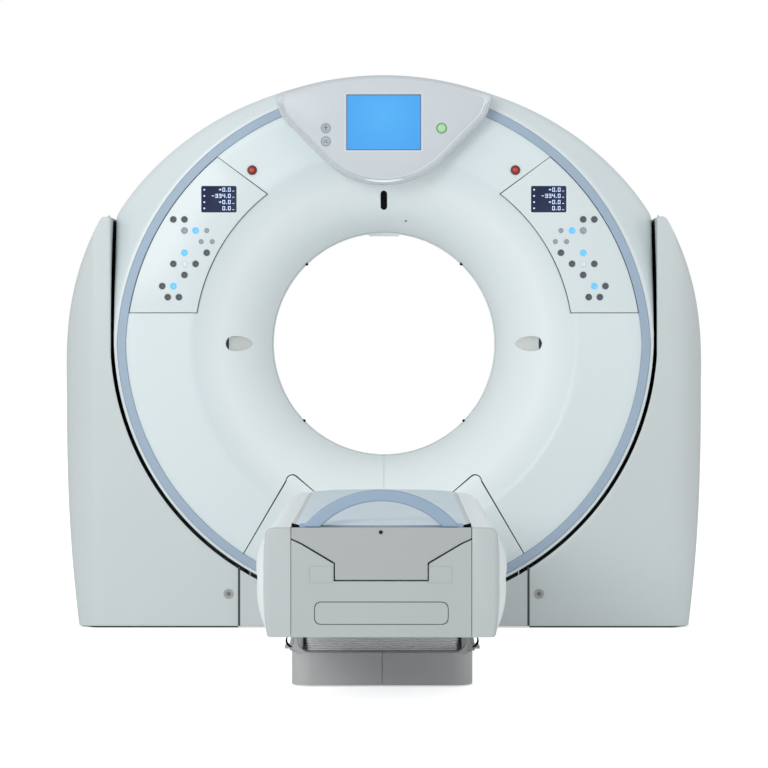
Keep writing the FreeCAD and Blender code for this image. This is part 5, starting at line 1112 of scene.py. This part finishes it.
for word, side in leftRight:
    dress(standShell("stand_skin_" + word, side), "floor_unit", "standWhite",
          ["stand_cover_" + word])
    # a dark strip in the joint between the stand cover and the base cover: painted shade in the gap
    gapShadeX = side * standTrim["gapShadeX"]
    gapShadeLoop = boxLoop(gapShadeX - standTrim["gapShadeHalf"], gapShadeX + standTrim["gapShadeHalf"], standTrim["gapShadeLow"],
                       standTrim["gapShadeHigh"], 1)
    dress(slab("stand_gap_shade_" + word, gapShadeLoop, *standTrim["gapShadeLevels"], "Y", 0),
          "floor_unit", "seamDark")
    lipFrom, lipTo = sorted(side * x for x in standTrim["lipX"])
    dress(slab("stand_lip_" + word, np.array(standTrim["lip"]), lipFrom, lipTo, "X", 0),
          "floor_unit", "standWhite")
    # a thin black slab under the cover's edge: a painted shadow line along the floor
    plan = mirrored(np.array(standTrim["foot"]), side)
    dress(slab("stand_foot_shadow_" + word, plan, *standTrim["footShadowLevels"], "Z", 0),
          "floor_unit", "gapBlack")
lockRings, lockWells = [[lathe(part, standTrim[part], side * standTrim["lockX"], standTrim["lockUp"],
                               standTrim["lockAngles"], -stand["face"]) for word, side in leftRight]
                        for part in ("ring", "well")]
locks = joined("lock_rings", lockRings)
smoothOver(locks, 40)
dress(locks, "floor_unit", "lockMetal", ["stand_locks"])
dress(joined("lock_wells", lockWells), "floor_unit", "markGrey")
print("stand covers made")


# couch side covers: a bulged section that draws in towards both ends

couch = dict(foot=3060, head=1000, top=484, low=198, inner=236.3, bulgeUp=345, skirt=298, run=143, rounding=10,
             corner=24, footHalf=304, sectionPoints=20,
             # half widths at the bulge and at the shoulder: foot end, full section, head end
             ends=((304, 303), (328, 284), (302, 278)))


def curveOver(start, corner, end, t):
    # a quadratic curve from the start to the end, drawn towards the corner
    return start * (1 - t) ** 2 + np.array(corner) * 2 * t * (1 - t) + end * t**2


def pick(arc, count):
    return arc[np.linspace(0, len(arc) - 1, count).astype(int)]


def sideSection(half, shoulder):
    # a cover's section, from its inner top edge over the shoulder and the bulge down to the skirt's heel
    skirt, corner = couch["skirt"], couch["corner"]
    upper = (half - 0.1 * (half - shoulder), couch["bulgeUp"] + 0.55 * (couch["top"] - couch["bulgeUp"]))
    lower = (half - 0.2 * (half - skirt), couch["bulgeUp"] - 0.6 * (couch["bulgeUp"] - couch["low"]))
    arcUp = arcPoints((shoulder, couch["top"]), upper, (half, couch["bulgeUp"]), 1)
    arcLow = arcPoints((half, couch["bulgeUp"]), lower, (skirt, couch["low"]), 1)
    arcUp = arcUp[arcUp[:, 1] < couch["top"] - corner]
    arcLow = arcLow[arcLow[:, 1] > couch["low"] + 8]
    t = np.linspace(0, 1, 9)[:, None]
    top = curveOver(np.array([shoulder - corner, couch["top"]]), (shoulder + 0.06 * corner, couch["top"]),
                    arcUp[0], t)
    heel = curveOver(arcLow[-1], (skirt, couch["low"]), np.array([skirt - 8, couch["low"]]), t[::2])
    count = couch["sectionPoints"]
    innerTop = [[couch["inner"], couch["top"] - 1.2], [couch["inner"] + 1.2, couch["top"]]]
    innerLow = [[couch["inner"] + 1.2, couch["low"]], [couch["inner"], couch["low"] + 1.2]]
    return np.concatenate([innerTop, top, pick(arcUp, count)[1:], pick(arcLow, count)[1:-1], heel, innerLow])


def sideCover(name, side):
    # sections along the couch: from each end's own section to the full one by a quarter of a sine over the run,
    # and drawn in at both ends by a quarter circle
    foot, full, headEnd = [sideSection(*halves) for halves in couch["ends"]]
    long, reach = couch["foot"] - couch["head"], couch["rounding"]
    ends = reach * (1 - np.cos(np.linspace(0, math.pi / 2, 9)))
    near = np.concatenate([ends, np.linspace(ends[-1] + 6, couch["run"], 16)])
    along = np.concatenate([near, np.linspace(couch["run"] + 90, long - 260, 14), long - near[::-1]])
    corner = np.array([couch["inner"], couch["low"]])
    wide, tall = couch["footHalf"] - couch["inner"], couch["top"] - couch["low"]
    rows = []
    for run in along:
        edge = min(run, long - run)
        end = foot if run < long - run else headEnd
        section = end + (full - end) * math.sin(min(edge / couch["run"], 1) * math.pi / 2)
        drawn = reach - math.sqrt(max(reach**2 - (reach - min(edge, reach)) ** 2, 0))
        loop = corner + (section - corner) * [1 - drawn / wide, 1 - 0.45 * drawn / tall]
        rows.append(toSpace(mirrored(loop, side), -couch["foot"] + run, "Y"))
    thing = meshOf(name, np.concatenate(rows), cappedFaces(len(rows), len(rows[0])))
    smoothOver(thing, 38)
    return thing


for word, side in leftRight:
    dress(sideCover("couch_side_" + word, side), "lift", "couchWhite", ["side_cover_" + word])


# thin lines, lock, wedges and blocks on the couch's foot face

footFace = dict(level=-3060.25, deep=1, lines=((-187.7, -126.1), (120.9, 184.6)), lineLow=339.7, lineHigh=383.9,
                panel=(-174, 174, 232, 290, 18), lockX=-1.3, lockUp=472, lockAngles=24, base=-3060,
                # distance from the lock's middle, and depth from the foot face
                ring=((5.0, -0.4), (5.6, -1.4), (7.4, -1.2), (8.0, 0), (8.0, 2), (5.0, 2)),
                core=((2.2, -1.0), (5.2, -0.6), (5.2, 2)),
                wedge=((234, 484.3), (214, 484.3), (214, 489), (234, 494)), wedgeLevels=(-3050, -3024),
                block=(198, 214, 484, 493), blockLevels=(-3050, -3026))
faceLevels = [footFace["level"]] * 2 + [footFace["level"] + footFace["deep"]] * 2
lines = [band("line", [boxLoop(left + d, right - d, footFace["lineLow"] + d, footFace["lineHigh"] - d, 2)
                       for d in (0, 0.9, 0.9, 0)], faceLevels) for left, right in footFace["lines"]]
dress(joined("foot_lines", lines), "lift", "seamGrey")
left, right, low, high, corner = footFace["panel"]
panelLine = band("foot_panel_line", [boxLoop(left + d, right - d, low + d, high - d, corner)
                                     for d in (-0.9, 0.9, 0.9, -0.9)], faceLevels)
dress(panelLine, "lift", "seamDark")
for name, part, finish, slotName in (("end_lock_ring", "ring", "lockMetal", "frame_paint"),
                                     ("end_lock", "core", "windowDark", "gap_black")):
    dress(lathe(name, footFace[part], footFace["lockX"], footFace["lockUp"], footFace["lockAngles"],
                footFace["base"]), "top", finish)
wedges, blocks = [], []
for word, side in leftRight:
    left, right = sorted(side * x for x in footFace["block"][:2])
    wedges.append(slab("wedge", mirrored(np.array(footFace["wedge"]), side), *footFace["wedgeLevels"], "Y", 0))
    block = boxLoop(left, right, *footFace["block"][2:], 3)
    blocks.append(slab("block", block, *footFace["blockLevels"], "Y", 1))
dress(joined("end_wedges", wedges), "top", "gapBlack")
dress(joined("end_blocks", blocks), "top", "handleBlue")
print("couch sides made")


# bellows: round ribs with sharp valleys, a little narrower at the floor

bellows = dict(half=219.5, near=-2334.5, far=-1605.5, low=95, high=198, ribs=15, deep=5.5, sharp=0.7, taper=6,
               steps=6, corner=30, wall=3.5, middleY=-1.97)


def bellowsRows(wall):
    # a rib's outside follows a power of the absolute value of a sine over the height
    rows = []
    for share in np.linspace(0, 1, bellows["ribs"] * bellows["steps"] + 1):
        rib = abs(math.sin(math.pi * bellows["ribs"] * share)) ** bellows["sharp"]
        drawn = bellows["deep"] * (1 - rib) + bellows["taper"] * (1 - share) + wall
        loop = boxLoop(-bellows["half"] + drawn, bellows["half"] - drawn, bellows["near"] + drawn,
                       bellows["far"] - drawn, bellows["corner"] - wall)
        rows.append(toSpace(loop, bellows["low"] + share * (bellows["high"] - bellows["low"]), "Z"))
    return rows


skirtRows = bellowsRows(0) + bellowsRows(bellows["wall"])[::-1]
skirtFaces = gridFaces(len(skirtRows), len(skirtRows[0]), True, True)
skirt = meshOf("bellows_skin", np.concatenate(skirtRows), skirtFaces)
smoothOver(skirt, 75)
skirt.data.materials.append(paint["bellowsGrey"])
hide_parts("bellows")
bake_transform(skirt)
print("bellows made")


# curved slopes where the base's ears meet its front, and dark treads in front of the pedals

slope = dict(hollow=((238, 134), (228, 106), (196, 95.5)), back=((196, 95.5), (196, 92), (240, 92), (240, 134)),
             levels=(-2372, -2342))
tread = dict(inner=((256, 104), (270, 112), (271, 132)), outer=((267, 132), (265.5, 115), (256, 109)),
             tip=(271, 132), heel=(256, 109), levels=(-2317.2, -2300))


def bothWays(points, side):
    return [(side * x, z) for x, z in points]


slopes = []
for word, side in leftRight:
    loop = np.concatenate([arcPoints(*bothWays(slope["hollow"], side), 4), bothWays(slope["back"], side)])
    slopes.append(slab("slope", loop, *slope["levels"], "Y", 0))
dress(joined("base_slopes", slopes), "floor_unit", "baseGrey")
for word, side in leftRight:
    inner, outer = [arcPoints(*bothWays(tread[part], side), 2) for part in ("inner", "outer")]
    loop = np.concatenate([inner, bothWays([tread["tip"]], side), outer, bothWays([tread["heel"]], side)])
    dress(slab("pedal_tread_" + word, loop, *tread["levels"], "Y", 0),
          "foot_pedal_" + word, "gapBlack")


# mattress: a thin crowned pad, its top blown up a little by cloth with a fixed underside, then made finer once

pad = dict(half=227.4, near=-3009.4, far=-1018.6, corner=28, rim=488.0, crown=4.3, topEdge=2.0, underEdge=1.4,
           dip=13.2, edge=5.0, swellOver=40, across=40, along=150, evenAcross=0.65, evenAlong=0.9,
           # cloth: the greatest move, and the box it stays in, in metres
           cap=0.004, ceiling=0.4979, side=0.2278, nearEnd=-3.0098, farEnd=-1.0182, fixedUnder=0.0004,
           pressure=4.0, frames=20, quality=5, mass=0.3, fill=0.8)


def padGrid():
    # u runs across and is denser at the edges, and d is the way to the nearest edge; with e a quarter circle of
    # d over the edge and s the square root of d over the swelling,
    # top = rim + topEdge e + crown (1 - u^2) s, and underside = rim - underEdge e - dip (1 - u^2) s
    even = np.linspace(-1, 1, pad["across"] + 1)
    u = np.sin(even * math.pi / 2) * (1 - pad["evenAcross"]) + even * pad["evenAcross"]
    run = np.linspace(-1, 1, pad["along"] + 1)
    run = pad["evenAlong"] * run + (1 - pad["evenAlong"]) * np.sin(run * math.pi / 2)
    y = pad["near"] + (run + 1) / 2 * (pad["far"] - pad["near"])
    toEnd = np.minimum(y - pad["near"], pad["far"] - y)
    short = np.clip(pad["corner"] - toEnd, 0, pad["corner"])
    width = pad["half"] - pad["corner"] + np.sqrt(pad["corner"] ** 2 - short**2)
    x = width[:, None] * u[None, :]
    depth = np.repeat(y[:, None], len(u), 1)
    gap = np.minimum(width[:, None] - np.abs(x), np.repeat(toEnd[:, None], len(u), 1))
    share = np.sqrt(np.clip(1 - (1 - np.clip(gap / pad["edge"], 0, 1)) ** 2, 0, 1))
    swell = np.clip(gap / pad["swellOver"], 0, 1) ** 0.5
    top = pad["rim"] + pad["topEdge"] * share + pad["crown"] * (1 - u[None, :] ** 2) * swell
    under = pad["rim"] - pad["underEdge"] * share - pad["dip"] * (1 - (x / pad["half"]) ** 2) * swell
    return x, depth, top, under


def swellPad(mattress):
    # cloth pressure lifts the top over a fixed underside; the move is kept short and inside the pad's box
    start = np.array([vertex.co for vertex in mattress.data.vertices])
    upward = np.array([vertex.normal.z for vertex in mattress.data.vertices])
    low = (upward < 0.05) | (start[:, 2] < pad["rim"] * milli + pad["fixedUnder"])
    fixed = mattress.vertex_groups.new(name="underside")
    fixed.add([int(place) for place in np.nonzero(low)[0]], 1.0, "REPLACE")
    cloth = mattress.modifiers.new("swell", "CLOTH")
    cloth.settings.quality = pad["quality"]
    cloth.settings.mass = pad["mass"]
    cloth.settings.use_pressure = True
    cloth.settings.uniform_pressure_force = pad["pressure"]
    cloth.settings.effector_weights.gravity = 0
    cloth.settings.vertex_group_mass = "underside"
    cloth.collision_settings.use_collision = False
    cloth.point_cache.frame_start, cloth.point_cache.frame_end = 1, pad["frames"]
    for step in range(1, pad["frames"] + 1):
        bpy.context.scene.frame_set(step)
    ready = mattress.evaluated_get(bpy.context.evaluated_depsgraph_get())
    moved = np.array([vertex.co for vertex in ready.data.vertices]) - start
    far = np.linalg.norm(moved, axis=1)
    moved *= (np.minimum(far, pad["cap"]) / np.maximum(far, 1e-9))[:, None]
    place = start + moved
    place[:, 2] = np.minimum(place[:, 2], pad["ceiling"])
    place[:, 0] = np.clip(place[:, 0], -pad["side"], pad["side"])
    place[:, 1] = np.clip(place[:, 1], pad["nearEnd"], pad["farEnd"])
    mattress.modifiers.clear()
    mattress.data.vertices.foreach_set("co", place.ravel())
    mattress.data.update()
    bpy.context.scene.frame_set(1)
    print("mattress swelled by up to", round(float(far.max()) / milli, 1), "mm, kept to",
          pad["cap"] / milli, "mm")


x, depth, top, under = padGrid()
rows, columns = x.shape
padPoints = np.concatenate([np.stack([x, depth, level], -1).reshape(-1, 3) for level in (top, under)])
topFaces = gridFaces(rows, columns, False, False)
lowFaces = [[place + rows * columns for place in face[::-1]] for face in topFaces]
mattress = meshOf("mattress_pad", padPoints, topFaces + lowFaces, 0.05)
swellPad(mattress)
finer = mattress.modifiers.new("finer", "SUBSURF")
finer.levels = finer.render_levels = 1
smoothOver(mattress, 60)
dress(mattress, "top", "padVinyl", ["mattress"])
print("mattress made")


# nodes that keep their form and get rounded edges: finish, slot, width of the rounding in mm

softEdges = {
    "trim_ring": ("ringBlue", "trim", 2.4),
    "foot_cover": ("footGrey", "housing", 3.0),
    "end_cover": ("endGrey", "housing", 3.0),
    "foot_panel": ("footGrey", "housing", 1.0),
    "base_cover_front": ("baseWhite", "housing", 2.0),
    "base_cover_rear": ("baseWhite", "housing", 2.0),
    "couch_base_cover_left": ("baseGrey", "base_grey", 4.0),
    "couch_base_cover_right": ("baseGrey", "base_grey", 4.0),
    "pedal_left": ("baseGrey", "base_grey", 1.2),
    "pedal_right": ("baseGrey", "base_grey", 1.2),
    "couchtop": ("cradleGrey", "cradle", 2.0),
    "floor_duct": ("baseGrey", "base_grey", 3.0),
    "arch_handle": ("handleBlue", "handle", 9.0),
}
for node, (finish, slotName, width) in softEdges.items():
    softened(node, finish, width)

# nodes that are shown as they are, with their finish
plainNodes = {
    "gantry_base_frame": "framePaint", "stand_liner_left": "gapBlack", "stand_liner_right": "gapBlack",
    "tilt_bearings": "bareSteel", "tilt_gearmotor": "packPaint", "couch_base_plate": "framePaint",
    "column_outer": "framePaint", "tilt_frame": "framePaint", "bore_liner": "funnelWhite",
    "top_laser_window": "gapBlack", "drive_motor": "packPaint",
    "drive_belt": "beltRubber", "rotor_ring": "castAluminium", "slip_ring": "bareSteel",
    "xray_tube": "packPaint", "hv_generator": "packPaint", "heat_exchanger": "castAluminium",
    "detector_array": "castAluminium",
    "drive_pulley": "bareSteel", "column_middle": "bareSteel", "couch_frame": "framePaint",
}
for node, finish in plainNodes.items():
    nodes[node].material_slots[0].material = paint[finish]
print("edges rounded and plain nodes painted")
